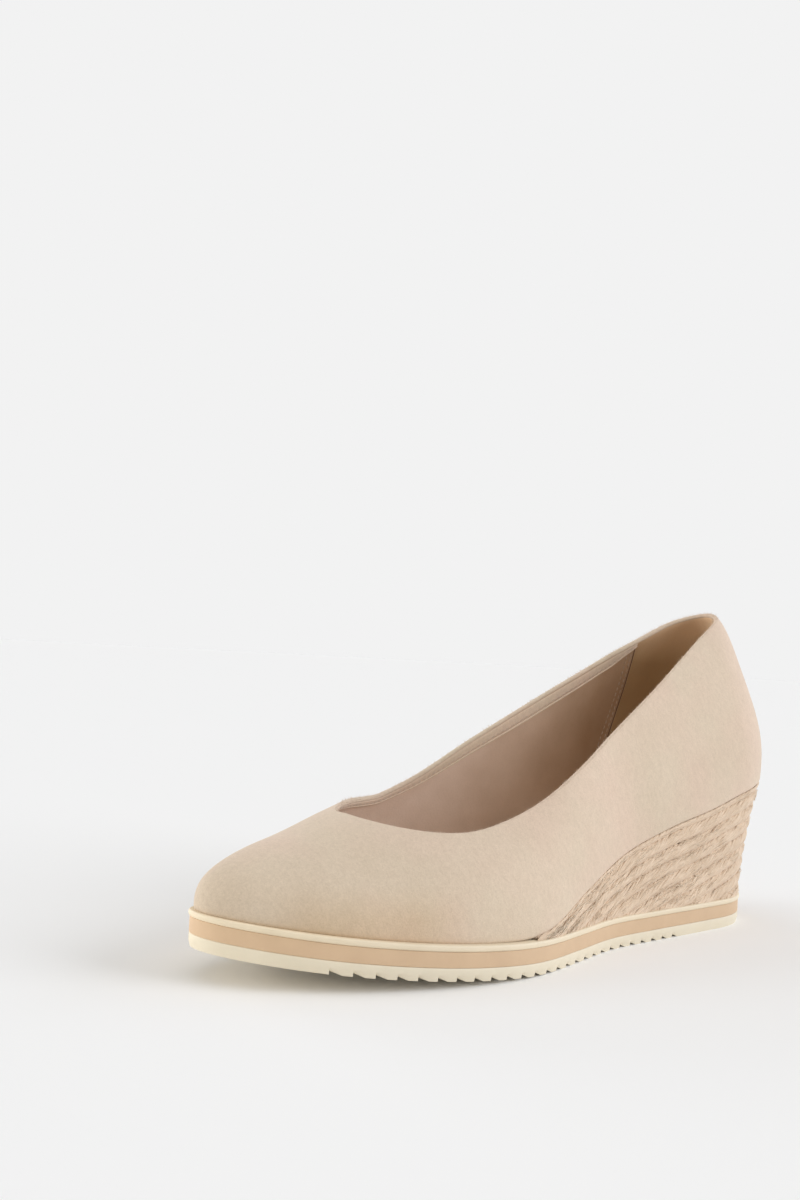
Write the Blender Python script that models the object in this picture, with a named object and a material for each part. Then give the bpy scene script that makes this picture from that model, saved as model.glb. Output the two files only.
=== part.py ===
"""A women's wedge pump, left shoe, standing empty on a floor.

The shoe is worked out along its last: u runs from 0 at the back of the heel to 1 at the
tip of the toe, and s is the same place in metres. Each section has a centre, a half
width, a height and a crown, so every piece follows from the same few functions.
The toe points to -Y, the outer side is at +X, and the floor is z = 0.
"""
import math

import bmesh
import bpy
from mathutils import Matrix, Vector

# Driving sizes, in metres
LENGTH = 0.244          # edge of the upper on the sole, heel to toe
BALL_WIDTH = 0.0766     # widest place of that edge
WEDGE_HEIGHT = 0.0450   # wedge under the back of the heel
INSTEP_HEIGHT = 0.0684  # crown of the last above its edge at the instep
COLLAR_HEIGHT = 0.0590  # top line above the edge at the outer heel
WALL = 0.0018           # suede with its lining
CLEAR = 0.0003          # left between neighbours

# Layers of the sole
OUTSOLE = 0.0038
MIDSOLE = 0.0042
WELT = 0.0016
SOLE_HEIGHT = OUTSOLE + MIDSOLE + WELT + 2 * CLEAR
TOE_SPRING = 0.0091     # lift of the outsole at the toe
SPRING_START = 0.55     # share of the length where the sole leaves the floor
SPRING_POWER = 1.8

# Plan of the last's edge and of the sole's edge
HEEL_ROUND = 0.0291     # length over which the heel's plan closes
TOE_ROUND = 0.0922      # the same at the toe
TOE_POWER = 2.1
HEEL_SET_IN = 0.0100    # back of the sole, forward of the last's edge
TOE_LEDGE = 0.0009      # toe of the sole, ahead of the last's edge
WELT_LIP = 0.0004       # the welt stands this far proud
EDGE_ROLL = 0.0005      # softened top edge of the outsole
DRAFT = 0.0005          # the outsole's foot is narrower by this on each side
HEEL_BEVEL = 0.0070     # length of the bevel under the back of the heel
HEEL_BEVEL_RISE = 0.0014

# Saw-tooth tread
TOOTH_PITCH = 0.0060
TOOTH_DEPTH = 0.0013
TOOTH_RAMP = 0.55       # share of a pitch that slopes
TREAD_FRONT = 0.899     # shares of the length
TREAD_BACK = 0.284

# Upper
CORNER = 0.0024         # outer radius where the wall turns under
MARGIN = 0.0070         # lasting margin, inside the corner
BELLY = 0.0005          # fullness of the wall between edge and crown
HEEL_SWELL = 0.00124    # the counter stands out this much low down and draws in above
SWELL_REACH = 0.20      # share of the length over which it fades along the sides
SWELL_TOP = 0.88        # share of the crown's height where it ends
HEEL_POLE = 0.0238      # the crown line starts here
TOE_POLE = 0.0251       # and ends this far from the tip
POLE_BLEND = 0.0122
VAMP_POINT = 0.810      # share of the length
THROAT_LENGTH = 0.0360  # the throat's curve runs this far back, on both sides
THROAT_POWERS = {1: 2.3, -1: 1.35}

# Insole
INSOLE = 0.0024
INSOLE_GAP = 0.0009     # to the inside of the wall

# Wedge and its plaited rows
ROPE_PITCH = 0.0051
FIRST_ROPE = 0.0027     # what shows of the row tucked under the upper
ROPE_RELIEF = 0.0010
ROPE_INSET = 0.0014     # the grooves lie this far inside the edges
WEDGE_WAIST = 1.6       # how quickly the back of the wedge draws in
WEDGE_TIP = 0.0012      # height at which the wedge's front ends
ROPE_PROFILE = (        # share of the pitch, share of the relief
    (0.0, 0.0),
    (0.2, 0.75),
    (0.5, 1.0),
    (0.8, 0.75),
)

# Number of stations a side
UPPER_BACK = 36
UPPER_FRONT = 10
WALL_ROWS = 9
CORNER_ROWS = 3
LAYER_STATIONS = 30
WEDGE_STATIONS = 22
MARGIN_SHARES = (1.0, 0.5)  # rows across the lasting margin, from its inner edge

# Working steps
SAMPLES = 600
HALVINGS = 30
SLOPE_STEP = 0.005      # share of the length over which the crown line's slope is measured
SIDE_STEP = 0.004       # the same for the sole's edge
HIGHEST_SHARE = 0.995   # a profile is not followed above this share of its height
SAME_POINT = 2e-5       # points nearer than this are one
NO_LENGTH = 1e-6

# One row for each section, from heel to toe. centre, half, ledge (how far the sole stands
# out past the upper) and crown_x (the crown line, from the middle plane) are shares of
# BALL_WIDTH, rise of WEDGE_HEIGHT, crown of INSTEP_HEIGHT, outer and inner (the top line
# on each side) of COLLAR_HEIGHT. full is the power of the profile, lean the forward slope
# of the wall.
COLUMNS = ("centre", "half", "ledge", "rise", "crown_x", "crown", "full", "lean", "outer", "inner")
SECTIONS = (
    (0.009, 0.335, -0.016, 1.000, 0.008, 1.070, 2.00, 0.09, 0.990, 0.990),
    (0.005, 0.336, -0.015, 0.896, 0.009, 0.991, 2.00, 0.13, 0.993, 1.018),
    (0.002, 0.347, -0.012, 0.754, 0.007, 0.952, 2.04, 0.12, 0.910, 0.981),
    (0.001, 0.341, 0.003, 0.626, 0.003, 0.972, 2.12, 0.08, 0.796, 0.878),
    (-0.003, 0.353, 0.014, 0.466, -0.028, 1.000, 2.20, 0.04, 0.696, 0.792),
    (-0.003, 0.421, 0.022, 0.262, -0.059, 0.915, 2.22, 0.00, 0.638, 0.733),
    (-0.010, 0.495, 0.026, 0.041, -0.088, 0.771, 2.20, 0.00, 0.605, 0.669),
    (-0.005, 0.500, 0.022, 0.000, -0.095, 0.614, 2.20, 0.00, 0.507, 0.549),
    (0.002, 0.466, 0.022, 0.000, -0.091, 0.467, 2.20, 0.00, 0.408, 0.429),
    (-0.012, 0.424, 0.025, 0.000, -0.095, 0.319, 2.20, 0.00, 0.301, 0.305),
    (-0.064, 0.375, 0.027, 0.000, -0.098, 0.255, 2.20, 0.00, 0.218, 0.231),
)

COLOURS = {
    "upper": (0.62, 0.49, 0.38),
    "insole": (0.60, 0.47, 0.36),
    "wedge": (0.60, 0.44, 0.30),
    "welt": (0.80, 0.73, 0.58),
    "midsole": (0.61, 0.42, 0.25),
    "outsole": (0.81, 0.76, 0.60),
}
ROUGHNESS = 0.85
SHARP_ANGLE = 35        # degrees


def section(name, u):
    """A column of the table at u, on a smooth curve through its rows."""
    column = COLUMNS.index(name)
    last = len(SECTIONS) - 1
    place = min(max(u, 0.0), 1.0) * last
    i = min(int(place), last - 1)
    t = place - i

    def value(k):
        return SECTIONS[k][column]

    def slope(k):
        low = max(k - 1, 0)
        high = min(k + 1, last)
        return (value(high) - value(low)) / (high - low)

    t2 = t * t
    t3 = t2 * t
    from_start = (2 * t3 - 3 * t2 + 1) * value(i) + (t3 - 2 * t2 + t) * slope(i)
    to_end = (3 * t2 - 2 * t3) * value(i + 1) + (t3 - t2) * slope(i + 1)
    return from_start + to_end


def end_round(distance, reach, power):
    """0 at an end, growing to 1 at reach, as a quarter of a superellipse."""
    k = min(max(1 - distance / reach, 0.0), 1.0)
    return (1 - k ** power) ** (1 / power)


def plan_round(u, length):
    return end_round(u * length, HEEL_ROUND, 2) * end_round((1 - u) * length, TOE_ROUND, TOE_POWER)


def floor_line(s):
    """Underside of the outsole: flat from the heel to the ball, then the toe spring."""
    share = max(0.0, (s / LENGTH - SPRING_START) / (1 - SPRING_START))
    return TOE_SPRING * share ** SPRING_POWER


def rise(u):
    return WEDGE_HEIGHT * max(0.0, section("rise", u))


def seat(s):
    """Height of the upper's underside, the same from side to side."""
    return floor_line(s) + SOLE_HEIGHT + CLEAR + rise(s / LENGTH)


def edge(u, side):
    """Edge of the upper on the sole: x, s, z. side is 1 outside and -1 inside."""
    x = BALL_WIDTH * (section("centre", u) + side * section("half", u) * plan_round(u, LENGTH))
    s = u * LENGTH
    return x, s, seat(s)


def sole_edge(u, side):
    """Edge of the sole in plan: x, s."""
    length = LENGTH + TOE_LEDGE - HEEL_SET_IN
    half = section("half", u) + section("ledge", u)
    x = BALL_WIDTH * (section("centre", u) + side * half * plan_round(u, length))
    return x, HEEL_SET_IN + u * length


def crown_station(s):
    """Where the section at s meets the crown line, which stops short of heel and toe."""
    start = HEEL_POLE
    end = LENGTH - TOE_POLE
    s = 0.5 * (s + end - math.hypot(s - end, POLE_BLEND))
    return 0.5 * (s + start + math.hypot(s - start, POLE_BLEND))


def crown_height(u):
    return seat(u * LENGTH) + INSTEP_HEIGHT * section("crown", u)


def heel_swell(u, upward):
    fade = max(0.0, 1 - (u / SWELL_REACH) ** 2) ** 2
    return HEEL_SWELL * fade * math.sin(2 * math.pi * upward / SWELL_TOP)


def upper_point(u, side, t):
    """Outside of the upper. t runs from 0 at the edge to 1 on the crown line."""
    x, s, z = edge(u, side)
    crown_s = crown_station(s)
    crown_u = crown_s / LENGTH
    top = crown_height(crown_u)
    power = section("full", u)
    inward = 1 - max(math.cos(t * math.pi / 2), 0.0) ** (2 / power)
    upward = math.sin(t * math.pi / 2) ** (2 / power)
    dx = BALL_WIDTH * section("crown_x", crown_u) - x
    ds = crown_s - s
    belly = (BELLY * math.sin(math.pi * upward) + heel_swell(u, upward)) / math.hypot(dx, ds)
    climb = crown_height(crown_u + SLOPE_STEP) - crown_height(crown_u - SLOPE_STEP)
    fall = climb / (2 * SLOPE_STEP * LENGTH)
    height = (top - z) * upward + fall * (ds * inward - ds) * upward ** 2
    return (
        x + dx * (inward - belly),
        s + ds * (inward - belly) + section("lean", u) * height,
        z + height,
    )


def profile_at(u, side, height):
    """t at a height above the edge."""
    top = crown_height(crown_station(u * LENGTH) / LENGTH) - edge(u, side)[2]
    share = min(max(height / top, 0.0), HIGHEST_SHARE)
    return 2 / math.pi * math.asin(share ** (section("full", u) / 2))


def collar_t(u, side):
    """t of the top line: along the collar, then round the throat to the vamp point."""
    if u >= VAMP_POINT:
        return 1.0
    low = profile_at(u, side, COLLAR_HEIGHT * section("outer" if side > 0 else "inner", u))
    throat = end_round((VAMP_POINT - u) * LENGTH, THROAT_LENGTH, THROAT_POWERS[side])
    return 1 - (1 - low) * throat


def evenly(start, end, count, places):
    """count + 1 values of u from start to end, spaced evenly along the given paths."""
    fine = [start + (end - start) * i / SAMPLES for i in range(SAMPLES + 1)]
    travelled = [0.0]
    before = places(start)
    for u in fine[1:]:
        now = places(u)
        travelled.append(travelled[-1] + sum(math.dist(a, b) for a, b in zip(before, now)))
        before = now
    result = []
    i = 0
    for k in range(count + 1):
        target = travelled[-1] * k / count
        while i < SAMPLES - 1 and travelled[i + 1] < target:
            i += 1
        part = (target - travelled[i]) / (travelled[i + 1] - travelled[i])
        result.append(fine[i] + (fine[i + 1] - fine[i]) * part)
    return result


def around(stations):
    """(u, side) once round the shoe: heel, outer side, toe, inner side."""
    outer = [(u, 1) for u in stations]
    inner = [(u, -1) for u in reversed(stations[1:-1])]
    return outer + inner


def outward(ring):
    """Unit normals in plan of a closed ring of (x, s)."""
    normals = []
    for before, after in zip(ring[-1:] + ring[:-1], ring[1:] + ring[:1]):
        dx = after[0] - before[0]
        ds = after[1] - before[1]
        size = math.hypot(dx, ds)
        normals.append((ds / size, -dx / size))
    return normals


def grown(ring, distance):
    """A ring moved outward in plan, or inward where distance is negative."""
    return [
        (point[0] + normal[0] * distance, point[1] + normal[1] * distance)
        for point, normal in zip(ring, outward(ring))
    ]


def world(x, s, z):
    return Vector((x, -s, z))


def across(ring):
    """Faces between the outer and the inner half of a closed ring that starts at the heel."""
    count = len(ring)
    faces = []
    for i in range(count // 2):
        corners = [ring[i], ring[i + 1], ring[(count - i - 1) % count], ring[(count - i) % count]]
        faces.append(corners)
    return faces


def make_object(name, rings, caps):
    """A mesh from rings of points, joined ring to ring, with the first and last capped."""
    mesh = bpy.data.meshes.new(name)
    build = bmesh.new()
    rows = [[build.verts.new(point) for point in ring] for ring in rings]
    for upper_row, lower_row in zip(rows, rows[1:]):
        for i in range(len(upper_row)):
            j = (i + 1) % len(upper_row)
            build.faces.new((upper_row[i], upper_row[j], lower_row[j], lower_row[i]))
    if caps:
        for row in (rows[0], rows[-1]):
            for corners in across(row):
                build.faces.new(list(dict.fromkeys(corners)))
    bmesh.ops.remove_doubles(build, verts=build.verts, dist=SAME_POINT)
    bmesh.ops.dissolve_degenerate(build, edges=build.edges, dist=NO_LENGTH)
    bmesh.ops.recalc_face_normals(build, faces=build.faces)
    build.to_mesh(mesh)
    build.free()
    return finish_object(name, mesh)


def finish_object(name, mesh):
    mesh.shade_smooth()
    mesh.set_sharp_from_angle(angle=math.radians(SHARP_ANGLE))
    material = bpy.data.materials.new(name)
    material.use_nodes = True
    shader = material.node_tree.nodes["Principled BSDF"]
    shader.inputs["Base Color"].default_value = (*COLOURS[name], 1)
    shader.inputs["Roughness"].default_value = ROUGHNESS
    shader.inputs["Metallic"].default_value = 0.0
    mesh.materials.append(material)
    obj = bpy.data.objects.new(name, mesh)
    bpy.context.collection.objects.link(obj)
    return obj


def sole_paths(u):
    return sole_edge(u, 1), sole_edge(u, -1)


def make_layer(name, bottom, thickness, lip, edge_round):
    """An even layer of the sole. bottom is its height above the floor line."""
    plan = [sole_edge(u, side) for u, side in around(evenly(0, 1, LAYER_STATIONS, sole_paths))]
    profile = (
        (lip - edge_round, thickness),
        (lip, thickness - edge_round),
        (lip, edge_round),
        (lip - edge_round, 0.0),
    )
    rings = []
    for reach, height in profile:
        rings.append([world(x, s, floor_line(s) + bottom + height) for x, s in grown(plan, reach)])
    return make_object(name, rings, caps=True)


def tread_stations():
    """(u, lift) along the outsole. A tooth's step has two entries at one u."""
    length = LENGTH + TOE_LEDGE - HEEL_SET_IN
    count = int((TREAD_FRONT - TREAD_BACK) * LENGTH / TOOTH_PITCH) + 1
    teeth = []
    for k in range(count):
        step = TREAD_FRONT * LENGTH - (count - 1 - k) * TOOTH_PITCH
        teeth.append((step - TOOTH_RAMP * TOOTH_PITCH, 0.0))
        teeth.append((step, TOOTH_DEPTH))
        teeth.append((step, 0.0))
    teeth = [((s - HEEL_SET_IN) / length, lift) for s, lift in teeth]
    back = evenly(0, teeth[0][0], LAYER_STATIONS // 2, sole_paths)[:-1]
    front = evenly(teeth[-1][0], 1, LAYER_STATIONS // 3, sole_paths)[1:]
    return [(u, 0.0) for u in back] + teeth + [(u, 0.0) for u in front]


def heel_bevel(s):
    share = max(0.0, 1 - (s - HEEL_SET_IN) / HEEL_BEVEL)
    return HEEL_BEVEL_RISE * share ** 2


def make_outsole():
    stations = tread_stations()
    places = around([u for u, _ in stations])
    lifts = [lift for _, lift in stations]
    lifts += lifts[-2:0:-1]
    plan = [sole_edge(u, side) for u, side in places]
    normals = sole_normals(places)

    def ring(reach, height, foot):
        points = []
        for (x, s), (nx, ns), lift in zip(plan, normals, lifts):
            z = floor_line(s) + height
            if foot:
                z += lift + heel_bevel(s)
            points.append(world(x + nx * reach, s + ns * reach, z))
        return points

    rings = (
        ring(-EDGE_ROLL, OUTSOLE, False),
        ring(0.0, OUTSOLE - EDGE_ROLL, False),
        ring(0.0, TOOTH_DEPTH + DRAFT, False),
        ring(-DRAFT, 0.0, True),
    )
    return make_object("outsole", rings, caps=True)


def sole_normals(places):
    """Outward normals of the sole's edge, from points a little way to each side."""
    normals = []
    for u, side in places:
        if u <= 0.0 or u >= 1.0:
            normals.append((0.0, -1.0 if u <= 0.0 else 1.0))
            continue
        before = sole_edge(max(u - SIDE_STEP, 0.0), side)
        after = sole_edge(min(u + SIDE_STEP, 1.0), side)
        dx = after[0] - before[0]
        ds = after[1] - before[1]
        size = math.hypot(dx, ds)
        normals.append((side * ds / size, side * -dx / size))
    return normals


def make_insole():
    plan = [edge(u, side)[:2] for u, side in around(evenly(0, 1, LAYER_STATIONS, edge_paths))]
    inside = grown(plan, -(WALL + INSOLE_GAP))
    soft = INSOLE / 3
    rings = []
    for reach, height in ((soft, INSOLE), (0.0, INSOLE - soft), (0.0, 0.0)):
        ring = []
        for x, s in grown(inside, -reach):
            ring.append(world(x, s, seat(s) + WALL + CLEAR + height))
        rings.append(ring)
    return make_object("insole", rings, caps=True)


def edge_paths(u):
    return edge(u, 1)[:2], edge(u, -1)[:2]


def upper_paths(u):
    return [upper_point(u, side, t) for side in (1, -1) for t in (0.0, collar_t(u, side))]


def upper_column(u, side, normal):
    """One column of the upper's outside, from its margin under the insole to the top line."""
    x, s, _ = edge(u, side)
    crown_s = crown_station(s)
    dx = BALL_WIDTH * section("crown_x", crown_s / LENGTH) - x
    ds = crown_s - s
    reach = math.hypot(dx, ds)
    column = []
    turned = (x - normal[0] * CORNER, s - normal[1] * CORNER)
    for share in MARGIN_SHARES:
        run = share * MARGIN / reach
        under = turned[1] + ds * run
        column.append(world(turned[0] + dx * run, under, seat(under)))
    for k in range(CORNER_ROWS + 1):
        angle = math.pi / 2 * (1 - k / (CORNER_ROWS + 1))
        inward = CORNER * (1 - math.cos(angle))
        under = s - normal[1] * inward
        column.append(world(x - normal[0] * inward, under, seat(under) + CORNER * (1 - math.sin(angle))))
    start = profile_at(u, side, CORNER)
    end = collar_t(u, side)
    for k in range(WALL_ROWS + 1):
        column.append(world(*upper_point(u, side, start + (end - start) * k / WALL_ROWS)))
    return column


def make_upper():
    back = evenly(0, VAMP_POINT, UPPER_BACK, upper_paths)
    front = evenly(VAMP_POINT, 1, UPPER_FRONT, upper_paths)
    stations = back + front[1:]
    places = around(stations)
    plan = [edge(u, side)[:2] for u, side in places]
    columns = [upper_column(u, side, normal) for (u, side), normal in zip(places, outward(plan))]
    rings = list(zip(*columns))
    shell = make_object("upper", rings, caps=False)
    wall = shell.modifiers.new("wall", "SOLIDIFY")
    wall.thickness = WALL
    wall.offset = -1
    wall.use_even_offset = True
    wall.use_rim = True
    return shell


def rope_rows():
    """(depth, relief) down the wedge's side, from its top to its foot."""
    levels = [(0.0, 0.0)]
    row_top = FIRST_ROPE - ROPE_PITCH
    while row_top < WEDGE_HEIGHT:
        for share, relief in ROPE_PROFILE:
            depth = row_top + share * ROPE_PITCH
            if depth > 0:
                levels.append((depth, relief * ROPE_RELIEF))
        row_top += ROPE_PITCH
    return levels + [(WEDGE_HEIGHT, 0.0)]


def wedge_front():
    """u where the wedge has run down to its tip, found by halving."""
    low = 0.0
    high = 1.0
    for _ in range(HALVINGS):
        middle = (low + high) / 2
        if rise(middle) > WEDGE_TIP + CLEAR:
            low = middle
        else:
            high = middle
    return low


def make_wedge():
    stations = evenly(0, wedge_front(), WEDGE_STATIONS, edge_paths)
    places = [(u, 1) for u in stations] + [(u, -1) for u in reversed(stations[1:])]
    top = [edge(u, side)[:2] for u, side in places]
    foot = [sole_edge(u, side) for u, side in places]
    columns = []
    for (x, s), (foot_x, foot_s), (nx, ns) in zip(top, foot, wedge_normals(top)):
        x -= nx * ROPE_INSET
        s -= ns * ROPE_INSET
        foot_x -= nx * ROPE_INSET
        foot_s -= ns * ROPE_INSET
        high = seat(s) - CLEAR
        height = high - floor_line(foot_s) - SOLE_HEIGHT - CLEAR
        column = []
        for depth, relief in rope_rows():
            if depth > height - ROPE_PITCH / 10:
                depth = height
                relief = 0.0
            drawn = 1 - (1 - depth / height) ** WEDGE_WAIST
            column.append(world(
                x + (foot_x - x) * drawn + nx * relief,
                s + (foot_s - s) * drawn + ns * relief,
                high - depth,
            ))
        columns.append(column)
    return make_object("wedge", list(zip(*columns)), caps=True)


def wedge_normals(ring):
    """Plan normals of the wedge's side, where the front end is cut straight across."""
    normals = outward(ring)
    last = len(ring) // 2
    normals[last] = normals[last - 1]
    normals[last + 1] = normals[last + 2]
    return normals


def stand_at_origin(objects):
    """Move all meshes so that the origin is under the middle of the shoe."""
    corners = [vertex.co for obj in objects for vertex in obj.data.vertices]
    low = Vector((min(c[axis] for c in corners) for axis in range(3)))
    high = Vector((max(c[axis] for c in corners) for axis in range(3)))
    shift = Vector((-(low.x + high.x) / 2, -(low.y + high.y) / 2, -low.z))
    for obj in objects:
        obj.data.transform(Matrix.Translation(shift))


def main():
    for obj in list(bpy.data.objects):
        bpy.data.objects.remove(obj)
    middle = OUTSOLE + CLEAR
    pieces = [
        make_outsole(),
        make_layer("midsole", middle, MIDSOLE, 0.0, EDGE_ROLL / 2),
        make_layer("welt", middle + MIDSOLE + CLEAR, WELT, WELT_LIP, WELT / 3),
        make_wedge(),
        make_insole(),
        make_upper(),
    ]
    stand_at_origin(pieces)


main()
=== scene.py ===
import math

import bmesh
import bpy
import numpy as np
from mathutils import Matrix, Vector
from mathutils.bvhtree import BVHTree

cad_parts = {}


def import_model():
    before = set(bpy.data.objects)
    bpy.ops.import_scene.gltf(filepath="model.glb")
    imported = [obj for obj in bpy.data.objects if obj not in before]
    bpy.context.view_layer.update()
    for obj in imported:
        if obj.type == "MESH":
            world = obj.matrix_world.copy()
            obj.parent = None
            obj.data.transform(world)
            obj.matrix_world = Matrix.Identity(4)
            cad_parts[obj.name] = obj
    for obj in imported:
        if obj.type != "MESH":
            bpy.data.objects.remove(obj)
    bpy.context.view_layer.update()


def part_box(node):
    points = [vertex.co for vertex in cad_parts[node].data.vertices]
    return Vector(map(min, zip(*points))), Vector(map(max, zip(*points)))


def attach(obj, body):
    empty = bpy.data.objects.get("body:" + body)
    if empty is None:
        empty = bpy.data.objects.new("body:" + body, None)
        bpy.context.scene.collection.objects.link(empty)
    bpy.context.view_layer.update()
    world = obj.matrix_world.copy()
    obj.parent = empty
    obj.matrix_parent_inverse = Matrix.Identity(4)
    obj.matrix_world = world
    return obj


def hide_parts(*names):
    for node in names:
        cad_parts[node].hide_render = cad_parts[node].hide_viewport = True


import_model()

# The looks of a left wedge pump: suede upper with its folded top edge and lining, a wedge
# wound with plaited jute, and a sole of three layers. u runs along the last from 0 at the
# back of the heel to 1 at the tip of the toe, and s is the same place in metres.

# Driving sizes, in metres, as in the part
LENGTH = 0.244
BALL_WIDTH = 0.0766
WEDGE_HEIGHT = 0.0450
INSTEP_HEIGHT = 0.0684
COLLAR_HEIGHT = 0.0590
WALL = 0.0018
CLEAR = 0.0003

# Layers of the sole
OUTSOLE = 0.0038
MIDSOLE = 0.0042
WELT = 0.0016
SOLE_HEIGHT = OUTSOLE + MIDSOLE + WELT + 2 * CLEAR
TOE_SPRING = 0.0091
SPRING_START = 0.55
SPRING_POWER = 1.8

# Plan of the last's edge and of the sole's edge
HEEL_ROUND = 0.0291
TOE_ROUND = 0.0922
TOE_POWER = 2.1
HEEL_SET_IN = 0.0100
TOE_LEDGE = 0.0009
WELT_LIP = 0.0004
EDGE_ROLL = 0.0005
DRAFT = 0.0005
HEEL_BEVEL = 0.0070
HEEL_BEVEL_RISE = 0.0014

# Saw-tooth tread
TOOTH_PITCH = 0.0060
TOOTH_DEPTH = 0.0013
TOOTH_RAMP = 0.55
TREAD_FRONT = 0.899
TREAD_BACK = 0.284

# Upper
MARGIN = 0.0070
BELLY = 0.0005
HEEL_SWELL = 0.00124
SWELL_REACH = 0.20
SWELL_TOP = 0.88
HEEL_POLE = 0.0238
TOE_POLE = 0.0251
POLE_BLEND = 0.0122
VAMP_POINT = 0.810
THROAT_LENGTH = 0.0360
OUTER_THROAT_POWER = 2.3
INNER_THROAT_POWER = 1.35
LINING = 0.0006  # lining leather, the inner part of the wall
EDGE_BULGE = 0.0007  # the folded top edge stands this far above its line
SUEDE_CORNER = 0.0007  # the suede turns under the sole's edge more sharply than the solid does

# Insole
INSOLE = 0.0024
INSOLE_GAP = 0.0009

# Wedge
ROPE_PITCH = 0.0051
FIRST_ROPE = 0.0027
ROPE_INSET = 0.0014
WEDGE_WAIST = 1.6
WEDGE_TIP = 0.0012

# Rows from heel to toe: centre, half, ledge and crown_x are shares of BALL_WIDTH, rise of
# WEDGE_HEIGHT, crown of INSTEP_HEIGHT, outer and inner of COLLAR_HEIGHT. full is the power
# of the profile, lean the forward slope of the wall.
COLUMNS = ("centre", "half", "ledge", "rise", "crown_x", "crown", "full", "lean", "outer", "inner")
SECTIONS = np.array((
    (0.009, 0.335, -0.016, 1.000, 0.008, 1.070, 2.00, 0.09, 0.990, 0.990),
    (0.005, 0.336, -0.015, 0.896, 0.009, 0.991, 2.00, 0.13, 0.993, 1.018),
    (0.002, 0.347, -0.012, 0.754, 0.007, 0.952, 2.04, 0.12, 0.910, 0.981),
    (0.001, 0.341, 0.003, 0.626, 0.003, 0.972, 2.12, 0.08, 0.796, 0.878),
    (-0.003, 0.353, 0.014, 0.466, -0.028, 1.000, 2.20, 0.04, 0.696, 0.792),
    (-0.003, 0.421, 0.022, 0.262, -0.059, 0.915, 2.22, 0.00, 0.638, 0.733),
    (-0.010, 0.495, 0.026, 0.041, -0.088, 0.771, 2.20, 0.00, 0.605, 0.669),
    (-0.005, 0.500, 0.022, 0.000, -0.095, 0.614, 2.20, 0.00, 0.507, 0.549),
    (0.002, 0.466, 0.022, 0.000, -0.091, 0.467, 2.20, 0.00, 0.408, 0.429),
    (-0.012, 0.424, 0.025, 0.000, -0.095, 0.319, 2.20, 0.00, 0.301, 0.305),
    (-0.064, 0.375, 0.027, 0.000, -0.098, 0.255, 2.20, 0.00, 0.218, 0.231),
))

# Camera, with angles in degrees: it looks at a point over the middle of the shoe
CAMERA_AZIMUTH = 49.984
CAMERA_ELEVATION = -2.605
CAMERA_ROLL = 3.091
CAMERA_DISTANCE = 0.41246
CAMERA_RIGHT = -0.04179
CAMERA_UP = 0.06457
CAMERA_TARGET_HEIGHT = 0.05083
CAMERA_SENSOR = 36.0  # millimetres, on the long side
CAMERA_LENS = 36.1
CAMERA_NEAR = 0.01

SLOPE_STEP = 0.005  # share of the length over which a slope is measured
HIGHEST_SHARE = 0.995  # a profile is not followed above this share of its height
FINE_STATIONS = 6001  # places at which a path is measured before it is divided evenly
SHIFT_STATIONS = 400  # places on the sole's edge from which its width is read
TINY = 1e-12  # keeps a division by a length of nothing from failing
MERGE = 1e-6  # points nearer than this are one
FINE_MERGE = 1e-7  # the same for thin fibres
LINE_SHARE = 0.1  # an edge shorter than this share of the merge distance is dissolved


# Shape of the last, as in the part, on arrays

def through(places, values, at):
    """A smooth curve through a few points."""
    places = np.asarray(places, float)
    values = np.asarray(values, float)
    slopes = np.gradient(values, places)
    at = np.clip(at, places[0], places[-1])
    i = np.clip(np.searchsorted(places, at, side="right") - 1, 0, len(places) - 2)
    step = places[i + 1] - places[i]
    t = (at - places[i]) / step
    t2 = t * t
    t3 = t2 * t
    from_start = (2 * t3 - 3 * t2 + 1) * values[i] + (t3 - 2 * t2 + t) * slopes[i] * step
    to_end = (3 * t2 - 2 * t3) * values[i + 1] + (t3 - t2) * slopes[i + 1] * step
    return from_start + to_end


def section(name, u):
    """A column of the table at u."""
    return through(np.linspace(0.0, 1.0, len(SECTIONS)), SECTIONS[:, COLUMNS.index(name)], u)


def end_round(distance, reach, power):
    k = np.clip(1 - distance / reach, 0.0, 1.0)
    return (1 - k ** power) ** (1 / power)


def plan_round(u, length):
    return end_round(u * length, HEEL_ROUND, 2) * end_round((1 - u) * length, TOE_ROUND, TOE_POWER)


def floor_line(s):
    share = np.maximum(0.0, (s / LENGTH - SPRING_START) / (1 - SPRING_START))
    return TOE_SPRING * share ** SPRING_POWER


def rise(u):
    return WEDGE_HEIGHT * np.maximum(0.0, section("rise", u))


def seat(s):
    """Height of the upper's underside."""
    return floor_line(s) + SOLE_HEIGHT + CLEAR + rise(s / LENGTH)


def edge(u, side):
    """Edge of the upper on the sole: x, s."""
    x = BALL_WIDTH * (section("centre", u) + side * section("half", u) * plan_round(u, LENGTH))
    return np.stack([x, u * LENGTH], -1)


def sole_edge(u, side):
    """Edge of the sole in plan: x, s."""
    length = LENGTH + TOE_LEDGE - HEEL_SET_IN
    half = section("half", u) + section("ledge", u)
    x = BALL_WIDTH * (section("centre", u) + side * half * plan_round(u, length))
    return np.stack([x, HEEL_SET_IN + u * length], -1)


def crown_station(s):
    start = HEEL_POLE
    end = LENGTH - TOE_POLE
    s = 0.5 * (s + end - np.hypot(s - end, POLE_BLEND))
    return 0.5 * (s + start + np.hypot(s - start, POLE_BLEND))


def crown_height(u):
    return seat(u * LENGTH) + INSTEP_HEIGHT * section("crown", u)


def heel_swell(u, upward):
    fade = np.maximum(0.0, 1 - (u / SWELL_REACH) ** 2) ** 2
    return HEEL_SWELL * fade * np.sin(2 * math.pi * upward / SWELL_TOP)


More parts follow.
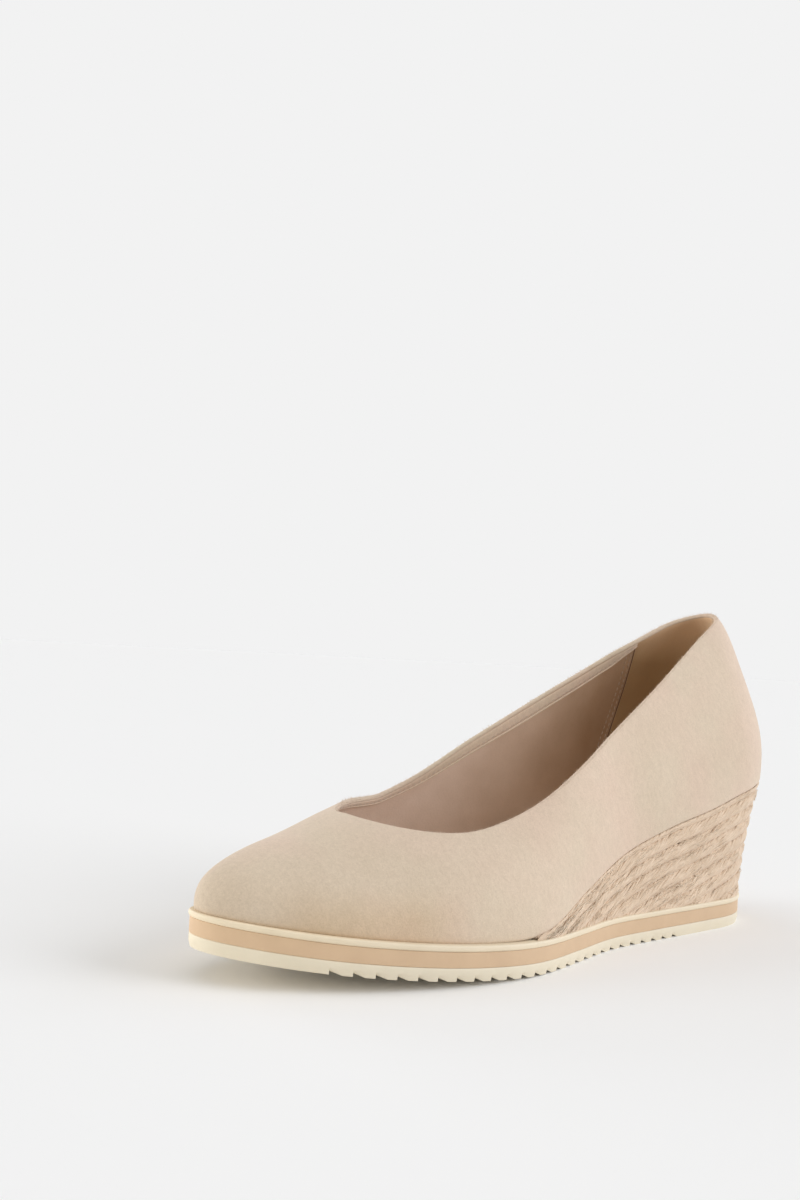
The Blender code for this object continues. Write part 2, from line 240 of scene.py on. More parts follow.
def upper_point(u, side, t):
    """Outside of the upper: x, s, z. t runs from 0 at the edge to 1 on the crown line."""
    plan = edge(u, side)
    x = plan[..., 0]
    s = plan[..., 1]
    z = seat(s)
    crown_s = crown_station(s)
    crown_u = crown_s / LENGTH
    power = section("full", u)
    inward = 1 - np.maximum(np.cos(t * math.pi / 2), 0.0) ** (2 / power)
    upward = np.sin(t * math.pi / 2) ** (2 / power)
    dx = BALL_WIDTH * section("crown_x", crown_u) - x
    ds = crown_s - s
    belly = (BELLY * np.sin(math.pi * upward) + heel_swell(u, upward)) / np.hypot(dx, ds)
    climb = crown_height(crown_u + SLOPE_STEP) - crown_height(crown_u - SLOPE_STEP)
    fall = climb / (2 * SLOPE_STEP * LENGTH)
    height = (crown_height(crown_u) - z) * upward + fall * (ds * inward - ds) * upward ** 2
    along = s + ds * (inward - belly) + section("lean", u) * height
    return np.stack([x + dx * (inward - belly), along, z + height], -1)


def profile_at(u, height):
    """t at a height above the edge."""
    top = crown_height(crown_station(u * LENGTH) / LENGTH) - seat(u * LENGTH)
    share = np.clip(height / top, 0.0, HIGHEST_SHARE)
    return 2 / math.pi * np.arcsin(share ** (section("full", u) / 2))


def collar_t(u, side):
    """t of the top line: along the collar, then round the throat to the vamp point."""
    share = np.where(side > 0, section("outer", u), section("inner", u))
    low = profile_at(u, COLLAR_HEIGHT * share)
    power = np.where(side > 0, OUTER_THROAT_POWER, INNER_THROAT_POWER)
    throat = end_round(np.maximum(VAMP_POINT - u, 0.0) * LENGTH, THROAT_LENGTH, power)
    return np.where(u >= VAMP_POINT, 1.0, 1 - (1 - low) * throat)


def unit(vectors):
    return vectors / np.linalg.norm(vectors, axis=-1, keepdims=True)


def travelled(path):
    """Distance along a path at each of its points."""
    return np.concatenate([[0.0], np.cumsum(np.linalg.norm(np.diff(path, axis=0), axis=1))])


def evenly(start, end, count, paths):
    """count + 1 values of u from start to end, spaced evenly along the given paths."""
    fine = np.linspace(start, end, FINE_STATIONS)
    way = sum(travelled(path) for path in paths(fine))
    return np.interp(np.linspace(0.0, way[-1], count + 1), way, fine)


def around(stations):
    """u and side once round the shoe: heel, outer side, toe, inner side."""
    u = np.concatenate([stations, stations[-2:0:-1]])
    side = np.concatenate([np.ones(len(stations)), -np.ones(len(stations) - 2)])
    return u, side


def outward(ring):
    """Unit normals in plan of a closed ring of x, s."""
    step = unit(np.roll(ring, -1, axis=0) - np.roll(ring, 1, axis=0))
    return np.stack([step[:, 1], -step[:, 0]], -1)


def sole_paths(u):
    return sole_edge(u, 1), sole_edge(u, -1)


def edge_paths(u):
    return edge(u, 1), edge(u, -1)


def upper_paths(u):
    return [upper_point(u, side, t) for side in (1, -1) for t in (0.0 * u, collar_t(u, side))]


def find_shift():
    """From x, s of the last to the frame, read from the welt's box."""
    low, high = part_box("welt")
    u, side = around(evenly(0.0, 1.0, SHIFT_STATIONS, sole_paths))
    x = sole_edge(u, side)[:, 0]
    shift_x = (low.x + high.x - x.min() - x.max()) / 2
    return shift_x, low.y + LENGTH + TOE_LEDGE + WELT_LIP


SHIFT_X, SHIFT_S = find_shift()


def world(points):
    """x, s, z of the last to the frame."""
    points = np.asarray(points, float)
    return np.stack([points[..., 0] + SHIFT_X, SHIFT_S - points[..., 1], points[..., 2]], -1)


def read_at(way, values, at):
    """Values given at each way, read at other ways."""
    if values.ndim == 1:
        return np.interp(at, way, values)
    return np.stack([np.interp(at, way, column) for column in values.T], -1)


def runs(mask):
    """Start and end of each stretch where the mask holds."""
    padded = np.concatenate([[False], mask, [False]])
    changes = np.flatnonzero(padded[1:] != padded[:-1])
    return [(a, b) for a, b in zip(changes[::2], changes[1::2])]


# Meshes

def new_mesh(name, points, faces, uvs):
    """A mesh from arrays of points, of quads, and of each quad's corners on a map."""
    mesh = bpy.data.meshes.new(name)
    mesh.vertices.add(len(points))
    mesh.vertices.foreach_set("co", np.asarray(points, np.float32).ravel())
    mesh.loops.add(faces.size)
    mesh.loops.foreach_set("vertex_index", faces.astype(np.int32).ravel())
    mesh.polygons.add(len(faces))
    mesh.polygons.foreach_set("loop_start", np.arange(0, faces.size, 4, dtype=np.int32))
    layer = mesh.uv_layers.new(name="UVMap")
    layer.data.foreach_set("uv", np.asarray(uvs, np.float32).ravel())
    mesh.update(calc_edges=True)
    mesh.validate()
    return mesh


def grid_faces(rows, columns, closed_rows, closed_columns):
    """Quads of a grid, and the row and column of each of their corners, not wrapped."""
    i, j = np.meshgrid(
        np.arange(rows if closed_rows else rows - 1),
        np.arange(columns if closed_columns else columns - 1),
        indexing="ij",
    )
    i = i.ravel()
    j = j.ravel()
    corner_i = np.stack([i, i, i + 1, i + 1], -1)
    corner_j = np.stack([j, j + 1, j + 1, j], -1)
    faces = (corner_i % rows) * columns + corner_j % columns
    return faces, corner_i, corner_j


class Builder:
    """Collects grids of quads for one mesh."""

    def __init__(self):
        self.points = []
        self.faces = []
        self.uvs = []
        self.count = 0

    def grid(self, points, closed_rows=False, closed_columns=False, along=None, across=None, flip=False):
        """points has the shape rows, columns, 3. along and across are the map's sizes."""
        rows, columns = points.shape[:2]
        faces, corner_i, corner_j = grid_faces(rows, columns, closed_rows, closed_columns)
        first = np.arange(rows + 1) / rows if along is None else along
        second = np.arange(columns + 1) / columns if across is None else across
        uvs = np.stack([np.asarray(first)[corner_i], np.asarray(second)[corner_j]], -1)
        if flip:
            faces = faces[:, ::-1]
            uvs = uvs[:, ::-1]
        self.points.append(points.reshape(-1, 3))
        self.faces.append(faces + self.count)
        self.uvs.append(uvs)
        self.count += rows * columns

    def ring(self, points, flip=False):
        """A grid whose columns go once round."""
        self.grid(points, closed_columns=True, flip=flip)

    def mesh(self, name):
        arrays = [np.concatenate(part) for part in (self.points, self.faces, self.uvs)]
        return new_mesh(name, *arrays)


TUBE_TIP = 0.1  # share of its width that is left at a tube's ends


def tube(build, path, normal, width, thick, sides, start_map, twist=(0, 0.0, 0.0)):
    """A flattened tube along a path. twist gives a number of yarns, their relief and their turn."""
    lobes, relief, turn = twist
    tangent = unit(np.gradient(path, axis=0))
    across = unit(np.cross(tangent, normal))
    normal = np.cross(across, tangent)
    way = travelled(path)
    ends = np.minimum(way, way[-1] - way)
    taper = TUBE_TIP + (1 - TUBE_TIP) * np.sqrt(np.clip(ends / np.max(thick), 0.0, 1.0))
    rings = []
    for k in range(sides):
        angle = 2 * math.pi * k / sides
        lobe = 1 + relief * np.cos(lobes * angle - turn * way)
        wide = across * (width / 2 * math.cos(angle) * lobe * taper)[:, None]
        high = normal * (thick / 2 * math.sin(angle) * lobe * taper)[:, None]
        rings.append(path + wide + high)
    points = np.stack(rings, 1)
    along = np.concatenate([way, way[-1:]]) + start_map
    build.grid(points, closed_columns=True, along=along, across=np.arange(sides + 1) / sides)


def quarter(steps):
    """1 - cosine and 1 - sine at each step of a quarter turn, from upright to level."""
    angles = math.pi / 2 * (1 - np.arange(steps + 1) / steps)
    return list(zip(1 - np.cos(angles), 1 - np.sin(angles)))


def rings(plan, normal, profile, ground):
    """Rings round the shoe, each at a reach off an edge in plan and a height above a ground."""
    rows = []
    for reach, height in profile:
        spot = plan + normal * reach
        rows.append(np.column_stack([spot, ground(spot[:, 1]) + height]))
    return world(np.stack(rows))


def cap_ring(ring):
    """Quads between the outer and the inner half of a closed ring that starts at the heel."""
    count = len(ring)
    half = count // 2
    outer = ring[:half + 1]
    inner = ring[(count - np.arange(half + 1)) % count]
    return np.stack([outer, inner], 1)


def closed_build(rows):
    """Rings closed by a cap at each end."""
    build = Builder()
    build.ring(rows)
    build.grid(cap_ring(rows[0]))
    build.grid(cap_ring(rows[-1]))
    return build


def tidy_mesh(mesh, merge, recalculate):
    build = bmesh.new()
    build.from_mesh(mesh)
    bmesh.ops.remove_doubles(build, verts=build.verts, dist=merge)
    bmesh.ops.dissolve_degenerate(build, edges=build.edges, dist=merge * LINE_SHARE)
    if recalculate:
        bmesh.ops.recalc_face_normals(build, faces=build.faces)
    build.to_mesh(mesh)
    build.free()


def place(name, build, material, slot, replaced=(), sharp=None, merge=MERGE, recalculate=True):
    """An object of the shoe from a builder's grids, riding on its one body."""
    mesh = build.mesh(name)
    tidy_mesh(mesh, merge, recalculate)
    mesh.materials.append(material)
    mesh.shade_smooth()
    if sharp is not None:
        mesh.set_sharp_from_angle(angle=math.radians(sharp))
    piece = bpy.data.objects.new(name, mesh)
    bpy.context.scene.collection.objects.link(piece)
    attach(piece, "root")
    if replaced:
        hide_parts(*replaced)
    return piece


# Materials

def new_material(name, colour, finish):
    """A material of one colour. finish gives the values of other inputs of its shader."""
    material = bpy.data.materials.new(name)
    material.use_nodes = True
    shader = material.node_tree.nodes["Principled BSDF"]
    shader.inputs["Base Color"].default_value = (*colour, 1)
    for socket, value in finish.items():
        shader.inputs[socket].default_value = value
    return material


class Nodes:
    """Short ways to add and join the nodes of a material."""

    def __init__(self, material):
        self.tree = material.node_tree
        self.position = self.tree.nodes.new("ShaderNodeTexCoord")

    def give(self, node, inputs):
        """Each input gets a value, or a link from another node."""
        for socket, value in inputs.items():
            if isinstance(value, bpy.types.NodeSocket):
                self.tree.links.new(value, node.inputs[socket])
            else:
                node.inputs[socket].default_value = value

    def dress(self, **inputs):
        """Gives the shader its inputs, by their names without spaces."""
        shader = self.tree.nodes["Principled BSDF"]
        self.give(shader, {name.replace("_", " "): value for name, value in inputs.items()})

    def add(self, kind, inputs, **settings):
        node = self.tree.nodes.new("ShaderNode" + kind)
        for name, value in settings.items():
            setattr(node, name, value)
        self.give(node, inputs)
        return node

    def noise(self, scale, detail=3.0, roughness=0.6, stretch=None, turn=(0, 0, 0), coordinates="Object"):
        """A noise of scale cells in a metre, or stretched on each axis and turned."""
        source = self.position.outputs[coordinates]
        if stretch:
            sizes = [1 / share for share in stretch]
            inputs = {"Vector": source, "Scale": sizes, "Rotation": turn}
            source = self.add("Mapping", inputs, vector_type="TEXTURE").outputs["Vector"]
        inputs = {"Vector": source, "Scale": scale, "Detail": detail, "Roughness": roughness}
        return self.add("TexNoise", inputs).outputs["Fac"]

    def ramp(self, value, low, high, colour_low, colour_high):
        node = self.add("ValToRGB", {"Fac": value})
        stops = ((low, colour_low), (high, colour_high))
        for element, (position, colour) in zip(node.color_ramp.elements, stops):
            element.position = position
            element.color = (*colour, 1)
        return node.outputs["Color"]

    def blend(self, first, second, share, mode="MIX"):
        """Two colours mixed: they are the node's inputs 6 and 7, and the share is its input 0."""
        inputs = {0: share, 6: first, 7: second}
        return self.add("Mix", inputs, data_type="RGBA", blend_type=mode).outputs[2]

    def tint(self, tone, value, low, high, dark, light):
        """The tone times a colour that goes from dark to light between two values."""
        return self.blend(tone, self.ramp(value, low, high, dark, light), 1.0, "MULTIPLY")

    def along(self, axis, stops):
        """A colour that changes along one axis of the object, given at some places of it."""
        axes = self.add("SeparateXYZ", {"Vector": self.position.outputs["Object"]})
        start = stops[0][0]
        end = stops[-1][0]
        way = self.add("MapRange", {"Value": axes.outputs[axis], "From Min": start, "From Max": end})
        node = self.add("ValToRGB", {"Fac": way.outputs["Result"]})
        elements = node.color_ramp.elements
        elements[0].color = (*stops[0][1], 1)
        elements[1].color = (*stops[-1][1], 1)
        for place, colour in stops[1:-1]:
            elements.new((place - start) / (end - start)).color = (*colour, 1)
        return node.outputs["Color"]

    def shade(self, tone, axis, stops):
        """The tone times a colour that changes along one axis."""
        return self.blend(tone, self.along(axis, stops), 1.0, "MULTIPLY")

    def bump(self, height, distance, strength, before=None):
        inputs = {"Height": height, "Distance": distance, "Strength": strength}
        if before is not None:
            inputs["Normal"] = before
        return self.add("Bump", inputs).outputs["Normal"]

    def spread(self, value, low, high):
        return self.add("MapRange", {"Value": value, "To Min": low, "To Max": high}).outputs["Result"]


WHITE = (1.0, 1.0, 1.0)
BLACK = (0.0, 0.0, 0.0)

# Noises, with their scale in cells a metre
SUEDE_CLOUDS = {"scale": 45.0, "detail": 4.0}
SUEDE_HUES = {"scale": 28.0, "detail": 2.0}
SUEDE_STROKES = {"scale": 760.0, "stretch": (0.8, 0.9, 0.42), "turn": (0.5, 0.0, 0.0)}
SUEDE_MOTTLE = {"scale": 1100.0, "roughness": 0.7}
SUEDE_GRAIN = {"scale": 2300.0, "detail": 2.0}
LEATHER_CLOUDS = {"scale": 60.0}
LEATHER_PORES = 1500.0
RUBBER_CLOUDS = {"scale": 120.0, "detail": 4.0}
RUBBER_GRAIN = {"scale": 3000.0, "detail": 2.0}
JUTE_CLOUDS = {"scale": 170.0}
JUTE_FIBRES = {"scale": 1.0, "stretch": (220.0, 16.0, 1.0), "coordinates": "UV"}

# Tints: two values of a noise and the tone at each
NAP = (0.36, 0.64, (0.966, 0.961, 0.955), (1.020, 1.020, 1.020))
FLECKS = (0.34, 0.66, (0.965, 0.960, 0.955), (1.030, 1.030, 1.030))
HUES = (0.36, 0.64, (1.020, 0.980, 0.985), (0.988, 1.002, 0.985))
SPECKLE = (0.30, 0.70, (0.940, 0.930, 0.920), (1.040, 1.040, 1.040))
PORES = (0.00, 0.35, (0.900, 0.900, 0.900), WHITE)
STRAW = (0.30, 0.72, (0.900, 0.870, 0.830), (1.050, 1.050, 1.050))
CLOUD_SPAN = (0.30, 0.72)
LEATHER_SPAN = (0.30, 0.70)
FIBRE_SPAN = (0.32, 0.66)

# Bumps: depth in metres and strength
STROKE_BUMP = (0.00010, 0.35)
MOTTLE_BUMP = (0.00012, 0.6)
GRAIN_BUMP = (0.00007, 0.8)
PORE_BUMP = (0.00005, 0.6)
RUBBER_BUMP = (0.00003, 0.5)
FIBRE_BUMP = (0.00016, 0.9)

SUEDE_FINISH = {
    "Roughness": 0.92,
    "Specular IOR Level": 0.25,
    "Sheen Weight": 0.28,
    "Sheen Roughness": 0.55,
    "Sheen Tint": (1.0, 0.93, 0.85, 1),
}
JUTE_FINISH = {"Roughness": 0.85, "Specular IOR Level": 0.3, "Sheen Weight": 0.25, "Sheen Roughness": 0.5}
LEATHER_GLOSS = 0.35
RUBBER_GLOSS = 0.40
SUEDE_ROUGHNESS = (0.86, 0.97)
LEATHER_UNEVEN = (-0.05, 0.08)  # how far the roughness strays
RUBBER_UNEVEN = (-0.06, 0.08)

# Painted light and shade: an axis, and tints at some places of it in metres
# Painted shade in the lining, darker toward the heel where less light reaches inside the shoe
LINING_PAINTED_SHADE = ("Y", ((-0.030, WHITE), (0.060, (0.58, 0.49, 0.38))))
# Painted shade low in the heel's counter lining, and painted light near its top edge
COUNTER_PAINTED_LIGHT_AND_SHADE = ("Z", ((0.096, (0.66, 0.61, 0.49)), (0.116, (1.14, 1.12, 1.10))))
# Painted light on the sole's layers, paler toward the toe
SOLE_PAINTED_LIGHT = ("Y", ((-0.120, (1.13, 1.12, 1.10)), (-0.070, WHITE)))
# Painted warm shade low on the vamp near the sole: its tint by height, and the stretch along the shoe
# where it lies
LOW_VAMP_PAINTED_SHADE = ("Z", ((0.020, (0.955, 0.905, 0.830)), (0.029, WHITE)))
LOW_VAMP_PAINTED_SHADE_SHARE = ("Y", ((-0.112, BLACK), (-0.100, WHITE), (-0.072, WHITE), (-0.055, BLACK)))


def suede_material(name, light, dark):
    """Short nap: cloudy tone, fine speckle, a soft sheen and a bump of tiny fibres."""
    material = new_material(name, light, SUEDE_FINISH)
    nodes = Nodes(material)
    strokes = nodes.noise(**SUEDE_STROKES)
    mottle = nodes.noise(**SUEDE_MOTTLE)
    grain = nodes.noise(**SUEDE_GRAIN)
    tone = nodes.ramp(nodes.noise(**SUEDE_CLOUDS), *CLOUD_SPAN, dark, light)
    for value, tint in ((strokes, NAP), (mottle, FLECKS), (nodes.noise(**SUEDE_HUES), HUES)):
        tone = nodes.tint(tone, value, *tint)
    # The low part of the vamp is darker and warmer: painted warm shade near the sole
    tone = nodes.blend(tone, nodes.shade(tone, *LOW_VAMP_PAINTED_SHADE), nodes.along(*LOW_VAMP_PAINTED_SHADE_SHARE))
    soft = nodes.bump(mottle, *MOTTLE_BUMP, nodes.bump(strokes, *STROKE_BUMP))
    nodes.dress(
        Base_Color=nodes.tint(tone, grain, *SPECKLE),
        Roughness=nodes.spread(strokes, *SUEDE_ROUGHNESS),
        Normal=nodes.bump(grain, *GRAIN_BUMP, soft),
    )
    return material


def leather_material(name, light, dark, roughness, painted_light_and_shade=None):
    """Smooth lining leather with fine pores, and painted light and shade along an axis where one is given.
    """
    material = new_material(name, light, {"Specular IOR Level": LEATHER_GLOSS})
    nodes = Nodes(material)
    clouds = nodes.noise(**LEATHER_CLOUDS)
    inputs = {"Vector": nodes.position.outputs["Object"], "Scale": LEATHER_PORES}
    pores = nodes.add("TexVoronoi", inputs).outputs["Distance"]
    tone = nodes.ramp(clouds, *LEATHER_SPAN, dark, light)
    if painted_light_and_shade:
        tone = nodes.shade(tone, *painted_light_and_shade)
    nodes.dress(
        Base_Color=nodes.tint(tone, pores, *PORES),
        Roughness=nodes.spread(clouds, *(roughness + stray for stray in LEATHER_UNEVEN)),
        Normal=nodes.bump(pores, *PORE_BUMP),
    )
    return material


def rubber_material(name, light, dark, roughness):
    """Matt moulded rubber with a faint mottle, and painted light that makes it paler toward the toe."""
    material = new_material(name, light, {"Specular IOR Level": RUBBER_GLOSS})
    nodes = Nodes(material)
    clouds = nodes.noise(**RUBBER_CLOUDS)
    nodes.dress(
        Base_Color=nodes.shade(nodes.ramp(clouds, *CLOUD_SPAN, dark, light), *SOLE_PAINTED_LIGHT),
        Roughness=nodes.spread(clouds, *(roughness + stray for stray in RUBBER_UNEVEN)),
        Normal=nodes.bump(nodes.noise(**RUBBER_GRAIN), *RUBBER_BUMP),
    )
    return material


def jute_material(name, light, dark):
    """Fibres that run along the map's first axis, in several straw tones."""
    material = new_material(name, light, JUTE_FINISH)
    nodes = Nodes(material)
    fibres = nodes.noise(**JUTE_FIBRES)
    tone = nodes.ramp(fibres, *FIBRE_SPAN, dark, light)
    nodes.dress(
        Base_Color=nodes.tint(tone, nodes.noise(**JUTE_CLOUDS), *STRAW),
        Normal=nodes.bump(fibres, *FIBRE_BUMP),
    )
    return material


SUEDE = suede_material("suede", (0.672, 0.548, 0.420), (0.640, 0.515, 0.390))
# Painted light: a paler copy of the suede for the facing inside the top line, brighter than the light
# inside the shoe makes it
FACING_SUEDE_PAINTED_LIGHT = suede_material("facing_suede_painted_light", (0.770, 0.630, 0.485), (0.735, 0.595, 0.455))
LINING_LEATHER = leather_material(
    "lining", (0.905, 0.730, 0.602), (0.800, 0.625, 0.495), 0.62, LINING_PAINTED_SHADE
)
COUNTER_LEATHER = leather_material(
    "counter_lining", (0.760, 0.550, 0.355), (0.690, 0.490, 0.315), 0.75, COUNTER_PAINTED_LIGHT_AND_SHADE
)
SOCK_LEATHER = leather_material("sock", (0.620, 0.480, 0.370), (0.570, 0.435, 0.335), 0.60)
# Painted shade: dark lines along the counter lining's front edge and in the closed seam on the inner side
SEAM_PAINTED_SHADE = leather_material("seam_painted_shade", (0.200, 0.130, 0.080), (0.170, 0.110, 0.065), 0.80)
THREAD = leather_material("thread", (0.660, 0.530, 0.415), (0.600, 0.480, 0.370), 0.75)
JUTE = jute_material("jute", (0.800, 0.640, 0.480), (0.640, 0.480, 0.335))
FIBRE = jute_material("jute_fibre", (0.880, 0.740, 0.570), (0.760, 0.600, 0.430))
# The wedge's core behind the plaits, with painted shade: it is much darker than the jute, so the gaps
# between the plies look shaded
CORE_PAINTED_SHADE = jute_material("wedge_core_painted_shade", (0.460, 0.325, 0.205), (0.370, 0.255, 0.155))
WELT_RUBBER = rubber_material("welt", (0.775, 0.662, 0.485), (0.740, 0.630, 0.455), 0.55)
MIDSOLE_RUBBER = rubber_material("midsole", (0.645, 0.460, 0.290), (0.605, 0.425, 0.265), 0.62)
OUTSOLE_RUBBER = rubber_material("outsole", (0.760, 0.680, 0.525), (0.725, 0.645, 0.490), 0.58)


# Upper

BACK_COLUMNS = 170
FRONT_COLUMNS = 56
MARGIN_ROWS = 4
CORNER_ROWS = 8
WALL_ROWS = 60
FOLD_ROWS = 10
SUEDE_STEP = 2  # on the suede's hidden side one row in two is enough
LINING_STEP = 4  # and on the lining's hidden side one in four
SHELL_MERGE = 2e-6

back_stations = evenly(0.0, VAMP_POINT, BACK_COLUMNS, upper_paths)
front_stations = evenly(VAMP_POINT, 1.0, FRONT_COLUMNS, upper_paths)
STATIONS = np.concatenate([back_stations, front_stations[1:]])
UPPER_U, UPPER_SIDE = around(STATIONS)
WALL_START = MARGIN_ROWS + CORNER_ROWS


def upper_rows():
    """Outside of the upper, from its margin under the insole to its top line."""
    u = UPPER_U
    plan = edge(u, UPPER_SIDE)
    normal = outward(plan)
    crown_s = crown_station(plan[:, 1])
    crown = np.stack([BALL_WIDTH * section("crown_x", crown_s / LENGTH), crown_s], -1)
    to_crown = unit(crown - plan)
    rows = []
    for k in range(MARGIN_ROWS):
        spot = plan - normal * SUEDE_CORNER + to_crown * MARGIN * (1 - k / MARGIN_ROWS)
        rows.append(np.column_stack([spot, seat(spot[:, 1]) - CLEAR]))
    for inward, upward in quarter(CORNER_ROWS)[:-1]:
        spot = plan - normal * SUEDE_CORNER * inward
        climb = (SUEDE_CORNER + CLEAR) * upward
        rows.append(np.column_stack([spot, seat(spot[:, 1]) - CLEAR + climb]))
    start = profile_at(u, SUEDE_CORNER)
    end = collar_t(u, UPPER_SIDE)
    for k in range(WALL_ROWS + 1):
        rows.append(upper_point(u, UPPER_SIDE, start + (end - start) * k / WALL_ROWS))
    return world(np.stack(rows))


def grid_normals(points):
    """Unit normals of a ring of columns, pointing out of the shoe."""
    round_step = np.roll(points, -1, axis=1) - np.roll(points, 1, axis=1)
    normals = np.cross(round_step, np.gradient(points, axis=0))
    normals /= np.linalg.norm(normals, axis=2, keepdims=True) + TINY
    middle = len(points) // 2
    heading = points[middle] - points[middle].mean(0)
    if (normals[middle] * heading).sum() < 0:
        normals = -normals
    # In front of the throat the outer and the inner side meet, and share their last normals
    count = points.shape[1]
    pair = (count - np.arange(count)) % count
    front = UPPER_U >= VAMP_POINT
    top = normals[-1]
    top[front] = unit(top[front] + top[pair][front])
    return normals


OUTSIDE = upper_rows()
OUTSIDE_NORMALS = grid_normals(OUTSIDE)


def top_line():
    """The closed top line: its points, surface normals, ways up past the edge, and u."""
    places = np.arange(len(UPPER_U))
    outer = places[(UPPER_SIDE > 0) & (UPPER_U <= VAMP_POINT)][::-1]
    inner = places[(UPPER_SIDE < 0) & (UPPER_U < VAMP_POINT)][::-1]
    columns = np.concatenate([outer, inner])
    points = OUTSIDE[-1][columns]
    normals = OUTSIDE_NORMALS[-1][columns]
    tangents = unit(np.roll(points, -1, axis=0) - np.roll(points, 1, axis=0))
    upward = unit(np.cross(normals, tangents))
    below = OUTSIDE[-3][columns] - points
    if (upward * below).sum() > 0:
        upward = -upward
    return points, normals, upward, UPPER_U[columns]


TOP_POINTS, TOP_NORMALS, TOP_UPWARD, TOP_U = top_line()


def offset_rows(depth):
    return OUTSIDE - OUTSIDE_NORMALS * depth


def on_fold(angle, spot=slice(None)):
    """Points of the folded top edge: angle 0 is on the outside and pi on the inside."""
    sunk = WALL / 2 * (1 - np.cos(angle))
    return TOP_POINTS[spot] - TOP_NORMALS[spot] * sunk + TOP_UPWARD[spot] * EDGE_BULGE * np.sin(angle)


def make_upper():
    """Suede shell: outside, rounded top edge, hidden inside, closed under its margin."""
    inner = offset_rows(WALL - LINING)[::SUEDE_STEP]
    inner[-1] = offset_rows(WALL)[-1]
    build = Builder()
    build.ring(OUTSIDE)
    build.ring(inner, flip=True)
    build.ring(np.stack([OUTSIDE[0], inner[0]]), flip=True)
    fold = [on_fold(math.pi * k / FOLD_ROWS) for k in range(FOLD_ROWS + 1)]
    build.ring(np.stack(fold))
    place("suede_upper", build, SUEDE, "suede", replaced=("upper",), merge=SHELL_MERGE)


def surface_tree(points):
    """A search tree of a closed ring of columns."""
    faces = grid_faces(*points.shape[:2], False, True)[0]
    return BVHTree.FromPolygons(points.reshape(-1, 3).tolist(), faces.tolist())


INSIDE_TREE = surface_tree(offset_rows(WALL))


def inside_rows(profile):
    """Rows on the inner wall, each at a distance below the top line and a height off the wall."""
    rows = []
    for distance, proud in profile:
        down = np.broadcast_to(distance, TOP_U.shape)[:, None]
        heights = np.broadcast_to(proud, TOP_U.shape)
        guess = TOP_POINTS - TOP_NORMALS * WALL - TOP_UPWARD * down
        row = []
        for spot, outside, height in zip(guess, TOP_NORMALS, heights):
            found, normal, _, _ = INSIDE_TREE.find_nearest(Vector(spot))
            if normal.dot(Vector(outside)) > 0:
                normal = -normal
            row.append(found + normal * height)
        rows.append(row)
    return np.array(rows)


# Suede turned inside the top line: its width at some u, from heel to vamp
FACING_PLACES = (0.0, 0.25, 0.45, 0.55, 0.66, 0.81)
FACING_WIDTHS = (0.0048, 0.0044, 0.0040, 0.0031, 0.0018, 0.0016)
FACING_END = 0.150  # u where the facing ends, under the counter lining
FACING_TAPER = 0.080  # share of the length over which it narrows to there
FACING_LEAST = 0.30  # share of its width that is left
FACING_DIVE = 0.030  # share of the length over which it goes under
FACING_NARROW = np.clip((TOP_U - FACING_END) / FACING_TAPER, FACING_LEAST, 1.0)
FACING = through(FACING_PLACES, FACING_WIDTHS, TOP_U) * FACING_NARROW
FACING_PROUD = 0.00022
FACING_SHAPE = (  # share of the width, share of FACING_PROUD
    (0.05, -0.8), (0.10, 0.3), (0.20, 0.8), (0.45, 1.0), (0.75, 1.0),
    (0.92, 0.8), (1.00, 0.1), (0.96, -1.4), (0.40, -1.6),
)
DIVE_DEPTH = 0.0009
BEAD = 0.0009  # width of the facing's turned edge
BEAD_PLACE = 0.6  # its middle lies this share of its width past the facing
BEAD_PROUD = 0.00045
BEAD_SINK = 0.1  # share of that height by which it is sunk
BEAD_ROWS = 12


def diving(proud):
    """A height off the wall that sinks into it at the heel."""
    shown = np.clip((TOP_U - FACING_END) / FACING_DIVE, 0.0, 1.0)
    return proud * shown - DIVE_DEPTH * (1 - shown)


def make_trim(name, profile):
    """Suede all round the inside of the top line, through the points of a closed profile."""
    build = Builder()
    build.grid(inside_rows(profile), closed_rows=True, closed_columns=True)
    place(name, build, FACING_SUEDE_PAINTED_LIGHT, "suede")


def make_facing():
    flat = [(share * FACING, diving(height * FACING_PROUD)) for share, height in FACING_SHAPE]
    make_trim("top_facing", flat)
    bead = []
    for k in range(BEAD_ROWS):
        angle = 2 * math.pi * k / BEAD_ROWS
        down = FACING + BEAD * BEAD_PLACE + BEAD / 2 * math.cos(angle)
        bead.append((down, diving(BEAD_PROUD * (math.sin(angle) - BEAD_SINK))))
    make_trim("facing_edge", bead)


def make_lining():
    """Lining leather over the whole inner wall, under the facing and down to the sock."""
    skin = offset_rows(WALL)[WALL_START:]
    back = offset_rows(WALL - LINING + CLEAR / 3)[WALL_START::LINING_STEP]
    build = Builder()
    build.ring(skin)
    build.ring(back, flip=True)
    build.ring(np.stack([skin[0], back[0]]))
    place("lining", build, LINING_LEATHER, "lining", merge=SHELL_MERGE)


def on_wall(grid, u, side, share):
    """Values of the upper's rows, read at u, side and a share of the wall's height."""
    count = len(UPPER_U)
    column = np.interp(u, STATIONS, np.arange(len(STATIONS)))
    column = np.where(side > 0, column, count - column)
    row = WALL_START + share * WALL_ROWS
    i = np.minimum(row.astype(int), len(grid) - 2)
    j = column.astype(int)
    a = (row - i)[..., None]
    b = (column - j)[..., None]
    lower = grid[i, j % count] * (1 - b) + grid[i, (j + 1) % count] * b
    upper = grid[i + 1, j % count] * (1 - b) + grid[i + 1, (j + 1) % count] * b
    return lower * (1 - a) + upper * a


